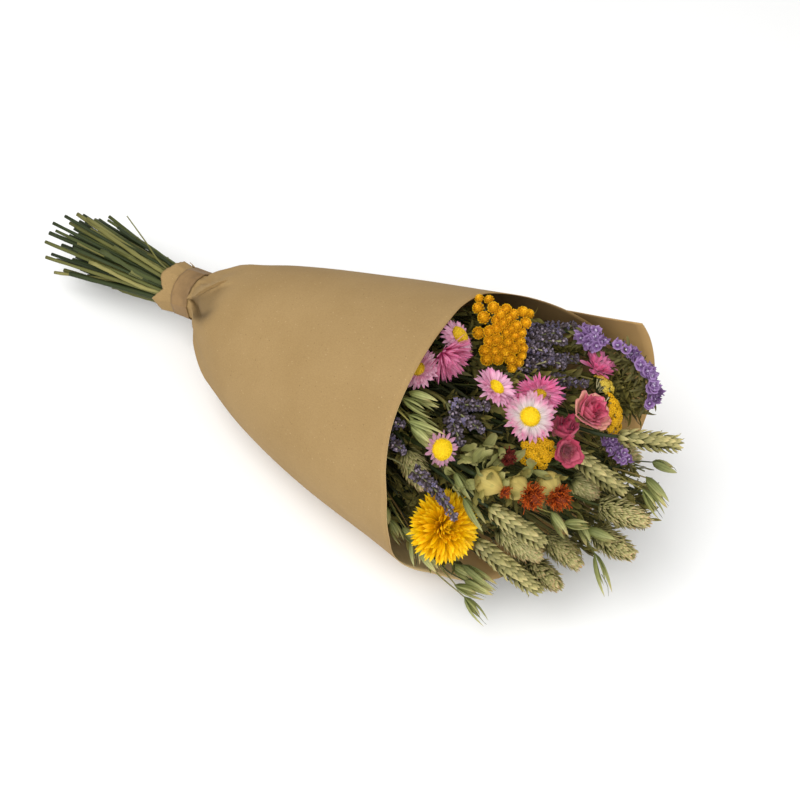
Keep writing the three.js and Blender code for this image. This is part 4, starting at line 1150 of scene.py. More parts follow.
safflower("safflower_right", [163, -30, 124], facing(0.7, 0.4, -0.58), 20, 8.5, 5, 107, [13, 13], 260)
safflower("safflower_middle", [149, -52, 127], facing(0.7, 0.6, -0.33), 20, 8.5, 5, 109, [13, 13], 260)
safflower("safflower_left", [132, -66, 136], facing(0.5, 0.7, -0.4), 22, 9.5, 6, 113, [7, 6], 60)
thread_tuft(9, 11, 127, 130).place([140, -42, 140], facing(1, 0.1, 0)).piece(
    "safflower_red_threads", [TUFT_RED], ["safflower_red_tuft"], "floret_dark_red")
head_stalk([140, -42, 140], facing(1, 0.1, 0), 2.0, 2.0)


# Wheat: spikelets of boat-shaped husks on two sides of the ear
def husk(length, width, sharp, open_to, rows=8):
    """A folded, pointed boat along z with its keel towards x."""
    t = np.linspace(0, 1, rows)[:, None]
    u = np.linspace(-1, 1, 5)[None, :]
    half = width / 2 * np.sin(np.pi * np.clip(t, 0, 1) ** (0.75 * sharp)) ** 0.7 + 0.08
    half = half * (1 - 0.15 * t)
    angle = u * 1.35 * open_to
    x = half * (np.cos(angle) - 0.35) + 0.18 * width * np.sin(np.pi * t)
    y = half * np.sin(angle) * 1.15
    return grid_form(np.stack([x, y, length * t + 0 * u], -1), t, u)


# Swing, lean, lift and size of each husk in a spikelet
SPIKELET = ((-1.0, 0.54, 0.0, 0.93), (1.0, 0.54, 0.0, 0.93), (-0.45, 0.66, 1.4, 0.98),
            (0.45, 0.66, 1.4, 0.98), (0.0, 0.46, 2.6, 0.9))


def wheat(length, seed):
    """An ear of fat spikelets that lean out to the left and right in turn."""
    heap, draw = fresh(seed)
    nodes = max(12, int(length / 3.1))
    shell = husk(9.9, 4.7, 0.8, 0.9)
    for k in range(nodes):
        t = k / (nodes - 1)
        z = (length - 10.5) * t
        big = 0.78 + 0.34 * math.sin(math.pi * (0.12 + 0.8 * t))
        for swing, lean, up, size in SPIKELET:
            a = math.pi * (k % 2) + swing + 0.1 * draw.normal()
            turn = rot_z(a) @ rot_y(lean + 0.06 * draw.normal())
            out = vec(1.9 * math.cos(a), 1.5 * math.sin(a), 0) * big + vec(0, 0, z + up * big)
            scale = size * big * draw.uniform(0.9, 1.08)
            heap.put(scaled(shell, scale), out, turn, draw.random())
            if swing == 0.0 or draw.random() < 0.25:
                point = out + turn @ vec(0.7, 0, 9.4 * scale)
                heap.put(tube([point, point + turn @ vec(0.1, 0, 1.6)], [0.3, 0.1], 4), r=draw.random())
    heap.crown(scaled(shell, 0.85), 4, 0.8, length - 9.5, draw.random, lean=0.2)
    heap.put(rod(np.linspace(0, length - 8, 6), 1.1), r=0.5, skin=1)
    return heap


def reach(name, make, root, tip, stem, skin, part):
    """A grass head from its root to its tip."""
    way = vec(*tip) - vec(*root)
    make(np.linalg.norm(way)).place(root, way).piece(name + part, [skin, STEM], [name], "grass_head")
    head_stalk(root, unit(way), stem, 0.0, 12.0)


WHEAT = husk_skin("wheat_husk", [(0, 66, 66, 32), (0.3, 126, 121, 70), (0.7, 168, 159, 101),
                                 (1, 196, 180, 122)], (114, 114, 64), 2.0, 0.4)
for place, root, tip, seed in (("right", [186, 32, 126], [226, 62, 116], 131),
                               ("middle", [165, 0, 125], [205, 20, 85], 137),
                               ("centre", [145, -72, 118], [182, -50, 78], 139),
                               ("front", [140, -79, 81], [190, -64, 41], 149)):
    reach("wheat_" + place, lambda length: wheat(length, seed), root, tip, 1.5, WHEAT, "_husks")


# Canary grass: egg-shaped heads of flat keeled scales
def canary_grass(length, width, seed):
    """A dense egg of narrow pointed scales that stand out all round."""
    heap, draw = fresh(seed)
    scale = husk(8.2, 2.6, 0.85, 0.6, 6)
    count = int(12.5 * length)
    core = [[0.3 * width * math.sin(math.pi * (0.16 + 0.7 * t)), length * t * 0.9]
            for t in np.linspace(0.06, 0.94, 7)]
    heap.put(turned([[0, 0], *core, [0, length * 0.92]], 12), r=0.2)
    for i in range(count):
        t = (i + 0.5) / count
        a = i * GOLDEN
        swell = math.sin(math.pi * (0.2 + 0.68 * t))
        lean = 1.0 - 0.75 * t + 0.16 * draw.normal()
        size = draw.uniform(0.82, 1.1) * (0.8 + 0.25 * swell)
        origin = polar(0.31 * width * swell, a, (length - 6.2) * t + draw.uniform(-0.6, 0.6))
        heap.put(scaled(scale, size), origin, rot_z(a) @ rot_y(lean), 0.6 * draw.random() + 0.4 * t)
    heap.put(rod((0, 3, 6), 0.9), r=0.5, skin=1)
    return heap


CANARY = husk_skin("canary_scale", [(0, 74, 76, 40), (0.3, 126, 124, 72), (0.65, 176, 170, 110),
                                    (0.85, 200, 190, 134), (1, 206, 170, 126)], (104, 108, 60), 2.0, 0.4)
for number, (root, tip, width, seed) in enumerate((
        ([148, -60, 84], [176, -46, 54], 16, 151), ([195, 0, 85], [235, 5, 90], 17, 157),
        ([200, -10, 65], [235, -12, 68], 16, 163), ([170, -30, 60], [205, -35, 55], 15, 167),
        ([165, -45, 42], [200, -55, 48], 15, 173), ([75, -75, 132], [100, -85, 115], 14, 179),
        ([167, 4, 90], [185, 15, 75], 14, 181), ([155, 52, 76], [190, 68, 70], 15, 185)), 1):
    reach(f"canary_grass_{number}", lambda length: canary_grass(length, width, seed), root, tip, 1.2, CANARY,
          "_scales")


# Oats: long striped glumes that hang from thin branches
def oat_grain(heap, start, tip, seed):
    draw = np.random.default_rng(seed)
    way = tip - start
    length = np.linalg.norm(way)
    turn = axes(way, 3 * draw.random())
    glume = husk(length, 6.8, 0.95, 0.85)
    for spin, lean, size in ((0.0, 0.09, 1.0), (math.pi, 0.11, 0.95), (0.6, 0.03, 0.76),
                             (math.pi + 0.5, 0.03, 0.7)):
        heap.put(scaled(glume, size), start, turn @ rot_z(spin) @ rot_y(lean), draw.random())
    awn = spline([start + 0.5 * way, start + 0.8 * way + 0.8 * draw.normal(size=3), tip], 6)
    heap.put(tube(awn, [0.3, 0.3, 0.25, 0.2, 0.15, 0.1], 4), r=draw.random(), skin=1)


OATS = husk_skin("oat_glume", [(0, 110, 117, 62), (0.4, 150, 154, 92), (0.8, 182, 180, 118),
                               (1, 194, 178, 120)], (94, 106, 54), 4.0, 0.5, 0.25)


def spray(name, root, twigs, seed, in_cad=True):
    """Each twig is the place of its bend, of the grain's root and of the grain's tip."""
    heap, draw = fresh(seed)
    base = vec(*root)
    for k, twig in enumerate(twigs):
        bend, hang, tip = (vec(*p) for p in twig)
        branch = tube(spline([base, bend, hang], 14), np.linspace(0.75, 0.45, 14), 6)
        heap.put(branch, r=draw.random(), skin=1)
        oat_grain(heap, hang - 1.5 * unit(tip - hang), tip, seed + k)
    heap.piece(name + "_glumes", [OATS, STEM], [name] if in_cad else [], "grass_head")
    if in_cad:
        way = unit(vec(*twigs[0][0]) - base)
        head_stalk(base - 0.7 * way, way, 1.1, 0.0, 14.0)


spray("oats_right", [187, 28, 95], [
    [[200, 28, 100], [215, 30, 102], [240, 20, 98]], [[200, 22, 98], [218, 21, 99], [240, 13, 91]],
    [[195, 45, 92], [205, 58, 86], [218, 72, 72]]], 191)
spray("oats_hanging", [175, -15, 80], [
    [[195, -25, 82], [213, -32, 74], [236, -48, 60]], [[182, -18, 82], [190, -18, 82], [205, -28, 74]],
    [[186, -14, 84], [198, -20, 80], [220, -16, 78]]], 193)
spray("oats_front", [95, -85, 60], [
    [[110, -85, 52], [125, -84, 46], [146, -84, 42]], [[112, -90, 50], [136, -95, 42], [158, -88, 38]],
    [[112, -95, 48], [148, -100, 42], [170, -104, 32]]], 197)
spray("oats_left", [40, -55, 155], [
    [[55, -60, 166], [65, -65, 172], [90, -62, 168]], [[55, -64, 162], [75, -71, 166], [99, -69, 164]],
    [[52, -60, 164], [66, -58, 173], [90, -56, 174]]], 199)
spray("oats_middle", [90, -66, 138], [
    [[105, -72, 138], [118, -75, 138], [138, -80, 128]],
    [[112, -78, 136], [134, -86, 132], [150, -82, 106]]], 211)
spray("oats_between", [150, -35, 96], [
    [[165, -38, 98], [176, -35, 97], [192, -38, 82]], [[158, -44, 92], [165, -49, 90], [184, -50, 78]],
    [[170, -30, 96], [186, -32, 90], [201, -22, 88]]], 215, False)
spray("oats_low", [44, -58, 156], [
    [[62, -72, 168], [79, -76, 167], [107, -71, 162]],
    [[64, -70, 166], [81, -76, 164], [102, -79, 156]]], 217, False)
spray("oats_corner", [108, -86, 54], [
    [[120, -88, 52], [133, -82, 50], [162, -79, 42]],
    [[122, -90, 46], [139, -87, 41], [161, -82, 38]]], 221, False)
spray("oats_rim", [60, -84, 92], [
    [[72, -96, 90], [83, -104, 87], [98, -110, 77]], [[78, -96, 92], [94, -103, 85], [110, -104, 78]],
    [[84, -98, 90], [103, -104, 82], [115, -115, 69]], [[88, -96, 88], [112, -107, 78], [130, -110, 70]],
    [[66, -90, 94], [74, -100, 92], [84, -108, 84]]], 219, False)


# Stems: every stalk from its cut end through the neck to its head
STALK_GAP = 3.25
BUNDLE_RADIUS = 12.4
LOOSE_END_HEIGHT = 2.4


def neck_places():
    """Where each stalk passes the tape, pushed apart as in the CAD source."""
    places = []
    for root, *_ in stalks:
        ahead, y, u = local(root)
        places.append(vec(42 * y / ahead + 1, 42 * u / ahead - 5))
    for _ in range(60):
        for i, p in enumerate(places):
            for j, q in enumerate(places):
                apart = p - q
                d = np.linalg.norm(apart)
                if i != j and d < STALK_GAP:
                    p += apart * 0.3 * (STALK_GAP - d) / max(d, 0.1)
            size = np.linalg.norm(p)
            if size > BUNDLE_RADIUS:
                p *= BUNDLE_RADIUS / size
    return places


def round_neck(s, r, a, up=0.0):
    """A point at a distance and angle from the bundle's own line."""
    return knot(s, r * math.cos(a), r * math.sin(a) + up)


def loose_path(start, middle, r, a, count):
    """From a loose end that clears the floor to the near edge of the tape."""
    start[2] = max(start[2], LOOSE_END_HEIGHT)
    return spline([start, middle, round_neck(-8, r, a)], count)


def stalk_tube(heap, path, thick, tone, draw, skin=0, sides=8):
    count = len(path)
    girth = thick * (1 + 0.05 * draw.normal(size=count))
    girth[draw.integers(1, count - 1, 2)] *= 1.22
    heap.put(tube(path, girth, sides, 0.08, 4), r=tone, skin=skin)


def whole_stalks(heap, draw):
    """The stalks that carry the heads."""
    random = seeded(223)
    for (root, direction, thick, flare, bend), place in zip(stalks, neck_places()):
        r = np.linalg.norm(place)
        a = math.atan2(place[1], place[0])
        b = a + 0.16 * (random() - 0.5)
        far = r * 1.75 + 7 + 8 * (random() - 0.5)
        tail = round_neck(-114 - 34 * random(), far, b, 13)
        tail[2] = max(tail[2], thick + 1.3)
        tip = root - 0.35 * direction
        path = spline([tail, round_neck(-10, r, a), round_neck(10, r, a), tip - direction * bend, tip], 46)
        girth = np.interp(np.linspace(0, 1, 46), [0, 0.5, 0.75, 1],
                          [thick + 0.3, thick + 0.15, thick, 0.85 * thick])
        girth = girth * (1 + 0.05 * draw.normal(size=46))
        girth[draw.integers(2, 40, 2)] *= 1.22
        if flare:
            girth[-3:] = [thick, 0.6 * (thick + flare), flare]
        heap.put(tube(path, girth, 8, 0.07, 4), r=0.96 * draw.random() ** 1.5)


def stem_bundle():
    heap, draw = fresh(5)
    whole_stalks(heap, draw)
    for _ in range(58):
        a = draw.uniform(0, TAU)
        r = 13 * math.sqrt(draw.random())
        out = r * 1.7 + draw.uniform(0, 7)
        b = a + 0.1 * draw.normal()
        start = round_neck(draw.uniform(-142, -70), out, b, 8)
        path = loose_path(start, round_neck(-42, 0.5 * (r + out), a, 1), r, a, 18)
        path = path + 0.2 * draw.normal(size=path.shape)
        stalk_tube(heap, path, draw.uniform(0.9, 2.1), draw.random() ** 1.3, draw)
    for _ in range(34):
        a = draw.uniform(0, TAU)
        r = 12.5 * math.sqrt(draw.random())
        start = round_neck(draw.uniform(-118, -50), r * 1.6 + 4, a, 7)
        path = loose_path(start, round_neck(-36, 1.3 * r, a, 1), r, a, 16)
        widths = draw.uniform(2.4, 5.0) * np.linspace(0.7, 1, 16)
        heap.put(ribbon(path, widths, draw.uniform(0, 3), 5, 0.5, draw.normal()), r=draw.random(), skin=1)
    for tail, a, thick, tone in (((-344, 15, 64), 1.9, 1.9, 0.88), ((-357, -8, 52), 2.6, 2.1, 0.25),
                                 ((-343, -22, 24), 3.5, 1.4, 0.92), ((-345, 6, 60), 2.2, 1.6, 0.8)):
        middle = knot(-45, 13 * math.cos(a), 16 * math.sin(a) + 6)
        stalk_tube(heap, spline([vec(*tail), middle, round_neck(-8, 12, a)], 24), thick, tone, draw)
    for k in range(56):
        a = draw.uniform(3.3, 6.0)
        r = draw.uniform(6, 13)
        out = r * 1.5 + draw.uniform(0, 6)
        start = round_neck(draw.uniform(-120, -40), out, a, 5)
        path = loose_path(start, round_neck(-34, 1.25 * r, a, 1), r, a, 16)
        if k % 3:
            stalk_tube(heap, path, draw.uniform(0.9, 1.6), draw.uniform(0, 0.6) if k % 2 else 0.99, draw)
        else:
            widths = draw.uniform(3, 6) * np.linspace(0.6, 1, 16)
            heap.put(ribbon(path, widths, draw.uniform(0, 3), 5, 0.6, draw.normal()), r=0.999)
    loose = spline([knot(-10, 0, 11), knot(-33, 0, 21), knot(-47, 1, 39), knot(-64, 3, 58)], 20)
    heap.put(tube(loose, np.linspace(0.75, 0.5, 20), 7), r=0.85)
    heap.put(tube([knot(s, 0, 0) for s in (-12, 0, 12)], 13.6, 20), r=0.1)
    return heap


stem_bundle().piece("stem_bundle", [BUNCH, BLADE], ["stems"], "dry_stem")


# Paper wrap: the same cone as the solid, with folds where it is gathered
CONE = np.array([
    (-20, 23.2, 23.2, 6, 8.5), (-10, 21, 21, 4.5, 8), (-3, 19.4, 19.4, 4, 8), (19, 19.4, 19.4, 4, 8),
    (31, 27, 27, 3.5, 6), (48, 40, 39, 2, 1), (75, 56, 54, 0, -1.5), (120, 73, 69, -3, -4),
    (200, 93, 88, -6, -6), (270, 106, 100, -6, -7), (340, 120, 110, -6, -8), (400, 127, 118, -5, -5)], float)
MOUTH = np.array([
    (-75, 345), (-63, 326), (-45, 300), (-30, 286), (-15, 288), (0, 293), (20, 297), (45, 300), (60, 305),
    (75, 311), (90, 311), (105, 306), (120, 303), (135, 306), (150, 325), (165, 341), (192, 356),
    (216, 366), (240, 376), (255, 380), (275, 382), (297, 382)], float)
COLLAR = np.array([(-75, -12), (-45, -13), (-5, -13), (28, -16), (57, -10), (66, -13), (88, -20), (118, -16),
                   (150, -18), (190, -20), (230, -17), (297, -14)], float)
EDGES = np.array([-75, -46, -16, 12, 33, 58, 80, 112, 150, 190, 228, 258, 284, 306], float)
LAP = 1.7
SHEET = 0.5
NECK_RADIUS = 19.4
SIDE_EDGES = (-75, 297)
SLIT = 57


def eased(table, x, column=1):
    """Cubic through the table's rows, flat at turning points."""
    xs, ys = table[:, 0], table[:, column]
    d = np.diff(ys) / np.diff(xs)
    slopes = np.zeros(len(xs))
    for i in range(1, len(xs) - 1):
        if d[i - 1] * d[i] > 0:
            slopes[i] = 2 * d[i - 1] * d[i] / (d[i - 1] + d[i])
    slopes[0], slopes[-1] = d[0], d[-1]
    i = np.clip(np.searchsorted(xs, x) - 1, 0, len(xs) - 2)
    h = xs[i + 1] - xs[i]
    t = np.clip((x - xs[i]) / h, 0, 1)
    a = (1 + 2 * t) * (1 - t) ** 2
    b = t * (1 - t) ** 2
    return a * ys[i] + b * h * slopes[i] + (1 - a) * ys[i + 1] + t * t * (t - 1) * h * slopes[i + 1]


def panels(s, degrees):
    """How far flat panels between creases stand off a round neck of radius 1."""
    at = np.clip(degrees + 0.35 * s, *SIDE_EDGES)
    k = np.clip(np.searchsorted(EDGES, at, side="right") - 1, 0, len(EDGES) - 2)
    return 1 / np.cos(np.radians(at - 0.5 * (EDGES[k] + EDGES[k + 1]))) - 1


def pleats(s, phi):
    rays = smoothstep(s, 21, 36) * (1 - smoothstep(s, 54, 110))
    return 1.3 * rays * np.cos(6 * phi + 2.2)


def crumple(s, phi):
    """Sharper folds by the neck and long soft ones down the cone."""
    near = smoothstep(s, 18, 28) * (1 - smoothstep(s, 40, 105))
    sharp = 1 - 2 * np.abs(np.sin(4.5 * phi + 0.8 + 0.012 * s))
    cross = 1 - 2 * np.abs(np.sin(7.5 * phi - 1.1 - 0.03 * s))
    folds = near * (1.5 * sharp + 1.0 * cross)
    waves = 0.6 * np.sin(3 * phi + 0.011 * s + 0.5) + 0.3 * np.sin(5 * phi - 0.02 * s)
    return folds + 0.6 * (smoothstep(s, 40, 120) * waves)


def fold_lines(s):
    """Degrees of the raised edge of the fold and of the slit below it."""
    ridge = np.interp(s, [17, 29.5, 48, 57.5, 63, 80], [55, 40, 24, 17, 11, 4])
    slit = np.interp(s, [17, 25, 44, 60, 80], [57, 62, 55, 44, 30])
    return ridge, slit


def pinch(s, degrees):
    """The fold that runs from the tape up over the cone, with a slanting panel that dives into a slit."""
    ridge, slit = fold_lines(s)
    begin = smoothstep(s, 17.2, 19.4)
    off = degrees - ridge
    fade = 1 - smoothstep(s, 48, 84)
    broad = 3.4 * fade * np.exp(-(np.clip(off, -99, 0) / 24) ** 2 - (np.clip(off, 0, 99) / 3) ** 2)
    second = 1.8 * fade * np.exp(-((off + 46) / 12) ** 2)
    deep = np.interp(s, [17, 20, 26, 34, 46, 60, 82], [0, 4.0, 5.4, 8.0, 8.4, 5.0, 0])
    share = np.clip(off / np.maximum(slit - ridge, 1), 0, 1)
    wall = 1 - smoothstep(degrees - slit, -0.6, 1.2 + 0.5 * np.clip(s - 44, 0, 60))
    return begin * (broad + second - deep * (0.12 + 0.88 * share) * (off > 0) * wall)


def painted_fold_shade(s, degrees):
    """How much of the fold's shade is painted into the paper: it goes to the u mark and darkens the paper's
    colour.
    """
    ridge, slit = fold_lines(s)
    share = (degrees - ridge) / np.maximum(slit - ridge, 1)
    panel = smoothstep(share, 0.0, 0.15) * (1 - smoothstep(share, 0.96, 1.1 + 0.015 * np.clip(s - 30, 0, 60)))
    deep = 0.55 + 0.45 * smoothstep(share, 0.75, 1.0)
    return panel * smoothstep(s, 17, 20) * (1 - smoothstep(s, 60, 84)) * deep


def wrap_point(s, degrees, inset, fold=1.0):
    phi = np.radians(degrees)
    w, h, up, side = (eased(CONE, s, column) for column in (1, 2, 3, 4))
    lap = LAP * np.clip((degrees - 255) / 30, 0, 1)
    rest = np.clip(np.abs(degrees - 180) / 40 - 0.6, 0, 1)
    under = smoothstep(np.abs(degrees - 291), 6, 30)
    flat = NECK_RADIUS * panels(s, degrees) * (1 - smoothstep(s, 19, 32))
    calm = np.exp(-((degrees - fold_lines(s)[0] - 12) / 26) ** 2) * (1 - smoothstep(s, 60, 100))
    rough = (pleats(s, phi) + crumple(s, phi) * rest * under) * (1 - 0.9 * calm)
    grow = lap + flat + rough + fold * pinch(s, degrees) - inset - 0.15
    p = NECK + s[..., None] * ALONG
    p = p + (side - (w + grow) * np.sin(phi))[..., None] * vec(0, 1, 0)
    p = p + (up + (h + grow) * np.cos(phi))[..., None] * LIFT
    p[..., 2] = np.maximum(p[..., 2], inset + 0.2)
    return p


# Lines along the loose edges of the fold: s, degrees and height over the cone
FLAP = (((16.6, 45, 0.6), (21, 36, 1.4), (36, 15, 1.6), (48, 6, 1.6), (56, -1, 1.2), (64, -5, 0.4)),
        ((16.8, 51, 1.0), (24, 41, 3.2), (40, 23, 4.6), (51, 14, 4.8), (60, 6, 4.0), (66, -1, 1.2)),
        ((17, 56, 1.0), (29, 43, 4.2), (47, 27, 6.0), (57, 19, 6.0), (64, 11, 4.6), (68, 3, 1.2)),
        ((17, 57, 0.2), (29, 43, 1.6), (47, 27, 2.6), (57, 19, 2.6), (64, 11, 1.6), (68, 4, 0.2)))


def strips(lines, heap):
    """Creased strips of paper between lines that stand over the cone."""
    fine = np.linspace(0, 1, 48)
    knots = np.linspace(0, 1, len(lines[0]))
    rows = [np.column_stack([np.interp(fine, knots, track) for track in zip(*line)]) for line in lines]
    for k, (a, b) in enumerate(zip(rows, rows[1:])):
        share = np.linspace(0, 1, 7)[:, None, None]
        grid = a * (1 - share) + b * share
        wobble = 0.2 * np.sin(9 * fine + 2 * k) * np.sin(math.pi * share[..., 0])
        outer = wrap_point(grid[..., 0], grid[..., 1], -grid[..., 2] - wobble, 0.0)
        points, quads, *rest = grid_form(outer, np.full(7, 0.2), np.zeros(48))
        heap.put((points, quads[:, ::-1], *rest))


def paper_wrap():
    degrees = np.linspace(*SIDE_EDGES, 260)
    rows = np.concatenate([np.linspace(0, 0.09, 16)[:-1], np.linspace(0.09, 0.14, 18)[:-1],
                           np.linspace(0.14, 0.3, 42)[:-1], np.linspace(0.3, 1, 34)])
    edge = eased(MOUTH, degrees)
    start = np.interp(degrees, *COLLAR.T) + 0.25 * np.sin(degrees * 0.5)
    s = start[:, None] + (edge - start)[:, None] * rows[None, :]
    along_slit = (fold_lines(s)[1] - SLIT) * (1 - smoothstep(s, 56, 120))
    d = degrees[:, None] + along_slit * np.exp(-((degrees[:, None] - SLIT) / 45) ** 2)
    outer, inner = wrap_point(s, d, 0.0), wrap_point(s, d, SHEET)
    n, m = d.shape
    half = n * m
    points = np.concatenate([outer.reshape(-1, 3), inner.reshape(-1, 3)])
    faces = grid_faces(n, m)
    at = np.arange(half).reshape(n, m)
    walls = []
    for edge in (at[:, 0], at[::-1, -1], at[0, ::-1], at[-1]):
        walls.append(np.column_stack([edge[:-1], edge[1:], half + edge[1:], half + edge[:-1]]))
    heap = Heap()
    quads = np.concatenate([faces, faces[:, ::-1] + half, *walls])
    t = np.tile(rows, n)
    # The u mark carries the fold's painted shade into the paper's colour.
    shade = painted_fold_shade(s, d).ravel()
    marks = np.column_stack([np.concatenate([t, t]), np.concatenate([shade, 0 * shade])])
    heap.put((points, quads, NO_TRIS, marks))
    heap.marks[0][half:, 2] = 1.0
    strips(FLAP, heap)
    return heap


paper_wrap().piece("kraft_wrap", [paper_skin()], ["paper_wrap"], "kraft_paper")


# Fill: blades and leaves that close the bunch behind the heads
HEADS = [s[0] for s in stalks]
HEADS_SEEN = np.array([[h @ RIGHT, h @ RISE] for h in HEADS])
HEADS_FRONT = np.array([h @ FRONT for h in HEADS])

# Seen from the camera, the inner paper between the strawflower and the front wheat stays bare
BARE_RIGHT = (52, 92)
BARE_RISE = (-86, -54)
LOWEST_LEAF = 42


def depth_limit(p):
    """How far towards the viewer the heads near a place reach."""
    d = np.linalg.norm(HEADS_SEEN - vec(p @ RIGHT, p @ RISE), axis=1)
    near = np.argsort(d)[:5]
    weight = 1 / (d[near] + 4)
    return float((HEADS_FRONT[near] * weight).sum() / weight.sum())


def cone_at(s):
    """Half width, half height, lift and shift of the cone."""
    return (np.interp(s, CONE[:, 0], CONE[:, k]) for k in (1, 2, 3, 4))


def in_cone(p, share):
    ahead, y, u = local(p)
    w, h, up, side = cone_at(ahead)
    return ((y - side) / w) ** 2 + ((u - up) / h) ** 2 < share ** 2 and p[2] > 4


def gather(count, seed, pick):
    """Tips from random tries, without those that the pick turns down."""
    draw = np.random.default_rng(seed)
    tips = []
    while len(tips) < count:
        tip = pick(draw)
        if tip is not None:
            tips.append(tip)
    return tips


def mouth_tips(count, seed, back):
    """Tips spread over the mouth, each a little behind the heads beside it."""

    def pick(draw):
        ahead = draw.uniform(236, 372)
        w, h, up, side = cone_at(ahead)
        a, r = draw.uniform(0, TAU), math.sqrt(draw.random()) * 0.9
        p = along(ahead, side + r * w * math.cos(a), up + r * h * math.sin(a))
        limit = depth_limit(p) - draw.uniform(*back)
        p = p - FRONT * max(0, p @ FRONT - limit)
        bare = BARE_RIGHT[0] < p @ RIGHT < BARE_RIGHT[1] and BARE_RISE[0] < p @ RISE < BARE_RISE[1]
        good = limit - p @ FRONT < 34 and in_cone(p, 0.88) and p[0] < 196 and not bare
        return p if good else None

    return gather(count, seed, pick)


def right_tips(count, seed):
    """Tips on the side that hangs out over the rim, in the viewer's plane."""

    def pick(draw):
        x, y = draw.uniform(136, 196), draw.uniform(-66, 12)
        if not -66 + 0.4 * (x - 140) < y < 14 - 0.25 * (x - 140):
            return None
        p = RIGHT * x + RISE * y
        p = p + FRONT * (depth_limit(p) - draw.uniform(6, 30))
        return p if p[0] < 232 and p[2] > 12 else None

    return gather(count, seed, pick)


def box_tips(count, seed, across, high, near, share):
    """Tips in a box in the viewer's axes, inside the cone."""

    def pick(draw):
        p = RIGHT * draw.uniform(*across) + RISE * draw.uniform(*high) + FRONT * draw.uniform(*near)
        return p if in_cone(p, share) else None

    return gather(count, seed, pick)


CORNER = ((0, 46), (-72, -30), (112, 146), 0.84)
ARC = ((162, 188), (38, 76), (98, 116), 0.86)
HEART = knot(12, 0, 0)


def fill_path(tip, draw, start):
    """A path towards a tip from further down the bunch."""
    foot = HEART * (1 - start) + tip * start
    path = spline([foot, 0.5 * (foot + tip) + 5.0 * draw.normal(size=3), tip], 14)
    path[:, 2] = np.maximum(path[:, 2], 3)
    return path


def fill_blades():
    heap, draw = fresh(307)
    tips = mouth_tips(380, 311, (5, 30)) + right_tips(190, 331) + box_tips(60, 341, *CORNER)
    for number, tip in enumerate(tips):
        # Painted shade: four in five blades on the left, deep in the bunch, take the darker shaded skin.
        dark = tip @ RIGHT < 135 and number % 5
        path = fill_path(tip, draw, draw.uniform(0.35, 0.65))
        if draw.random() < 0.6:
            widths = draw.uniform(2.6, 6.0) * np.sin(np.pi * np.linspace(0.3, 0.985, 14)) ** 0.8
            blade = ribbon(path, widths, draw.uniform(0, 3), 3, 0.5, 1.2 * draw.normal())
            heap.put(blade, r=draw.random(), skin=2 if dark else 1)
        else:
            stalk_tube(heap, path, draw.uniform(0.5, 1.0), draw.random(), draw, 2 if dark else 0, 5)
    return heap


def fill_leaves():
    heap, draw = fresh(313)
    tips = mouth_tips(270, 317, (8, 26)) + right_tips(60, 337) + box_tips(26, 343, *CORNER)
    for tip in tips + box_tips(60, 353, *ARC):
        if tip[2] < LOWEST_LEAF:
            continue
        way = unit(tip - HEART)
        turn = axes(way, draw.uniform(0, 6))
        for i in range(5):
            form = leaf(draw.uniform(9, 17), draw.uniform(2.4, 6.2), 6, 3, root=0.25, belly=0.45, point=0.9,
                        rise=draw.uniform(0.5, 1.3), curl=draw.uniform(-0.9, 0.9), cup=0.4,
                        twist=0.8 * draw.normal(), wave=0.5, phase=6 * draw.random())
            heap.put(form, tip - way * (3.5 * i), turn @ rot_z(i * GOLDEN), draw.random(),
                     int(draw.random() < 0.35))
    return heap


def oval_leaves(places, seed):
    """Broad dry leaves that curl round the safflower buds."""
    heap, draw = fresh(seed)
    for p in places:
        for _ in range(3):
            way = facing(0.5 + 0.3 * draw.normal(), draw.normal(), draw.normal())
            form = leaf(draw.uniform(12, 17), draw.uniform(6.5, 8.5), 10, 5, root=0.2, belly=0.45, point=0.75,
                        rise=0.2 * draw.normal(), curl=draw.uniform(-0.9, 1.1), cup=0.4,
                        twist=0.8 * draw.normal(), wave=0.9, phase=6 * draw.random())
            origin = vec(*p) + 1.5 * draw.normal(size=3)
            heap.put(form, origin, axes(way, 6 * draw.random()) @ rot_y(-0.9), draw.random())
    return heap


# Painted shade: darker copies of the blade colours, for blades deep in the bunch.
DEEP = stem_skin("shaded_blades", [(0, 34, 40, 22), (0.5, 54, 58, 32), (1, 82, 78, 46)], 0.4)
OLIVE = petal_skin("olive_leaf", [(0, 112, 112, 60), (0.5, 140, 140, 82), (1, 158, 152, 96)], vary=0.28,
                   glow=0.15)
BUD_LEAVES = ([118, -62, 146], [124, -52, 150], [130, -55, 143], [134, -45, 146], [128, -66, 148],
              [140, -44, 136], [146, -62, 136], [158, -40, 136], [113, -63, 146], [117, -76, 136],
              [128, -76, 134])
oval_leaves(BUD_LEAVES, 347).piece("safflower_leaves", [OLIVE], [], "dry_leaf")
fill_blades().piece("inner_blades", [STEM, BLADE, DEEP], [], "dry_stem")
fill_leaves().piece("inner_leaves", [LEAF, STATICE_LEAF], [], "dry_leaf")


# Neck tape and the band under the paper
def ring_round(low, high, inner, outer, columns, skin, name, node, slot):
    """A band round the neck; its radii are functions of degrees and place."""
    degrees = np.linspace(0, 360, columns, endpoint=False)
    phi = np.radians(degrees)
    rows = [(low, inner), *[(s, outer) for s in np.linspace(low, high, 9)], (high, inner)]
    grid = []
    for s, radius in rows:
        r = radius(degrees, s)
        grid.append(knot(s, 0, 0) + np.outer(-r * np.sin(phi), vec(0, 1, 0))
                    + np.outer(r * np.cos(phi), LIFT))
    points, quads, tris, marks = grid_form(np.array(grid), np.linspace(0, 1, len(rows)), np.cos(phi), True)
    i = np.arange(columns)
    j = (i + 1) % columns
    last = (len(rows) - 1) * columns
    heap = Heap()
    heap.put((points, np.concatenate([quads, np.column_stack([last + i, last + j, j, i])]), tris, marks))
    heap.piece(name, [skin], [node], slot)


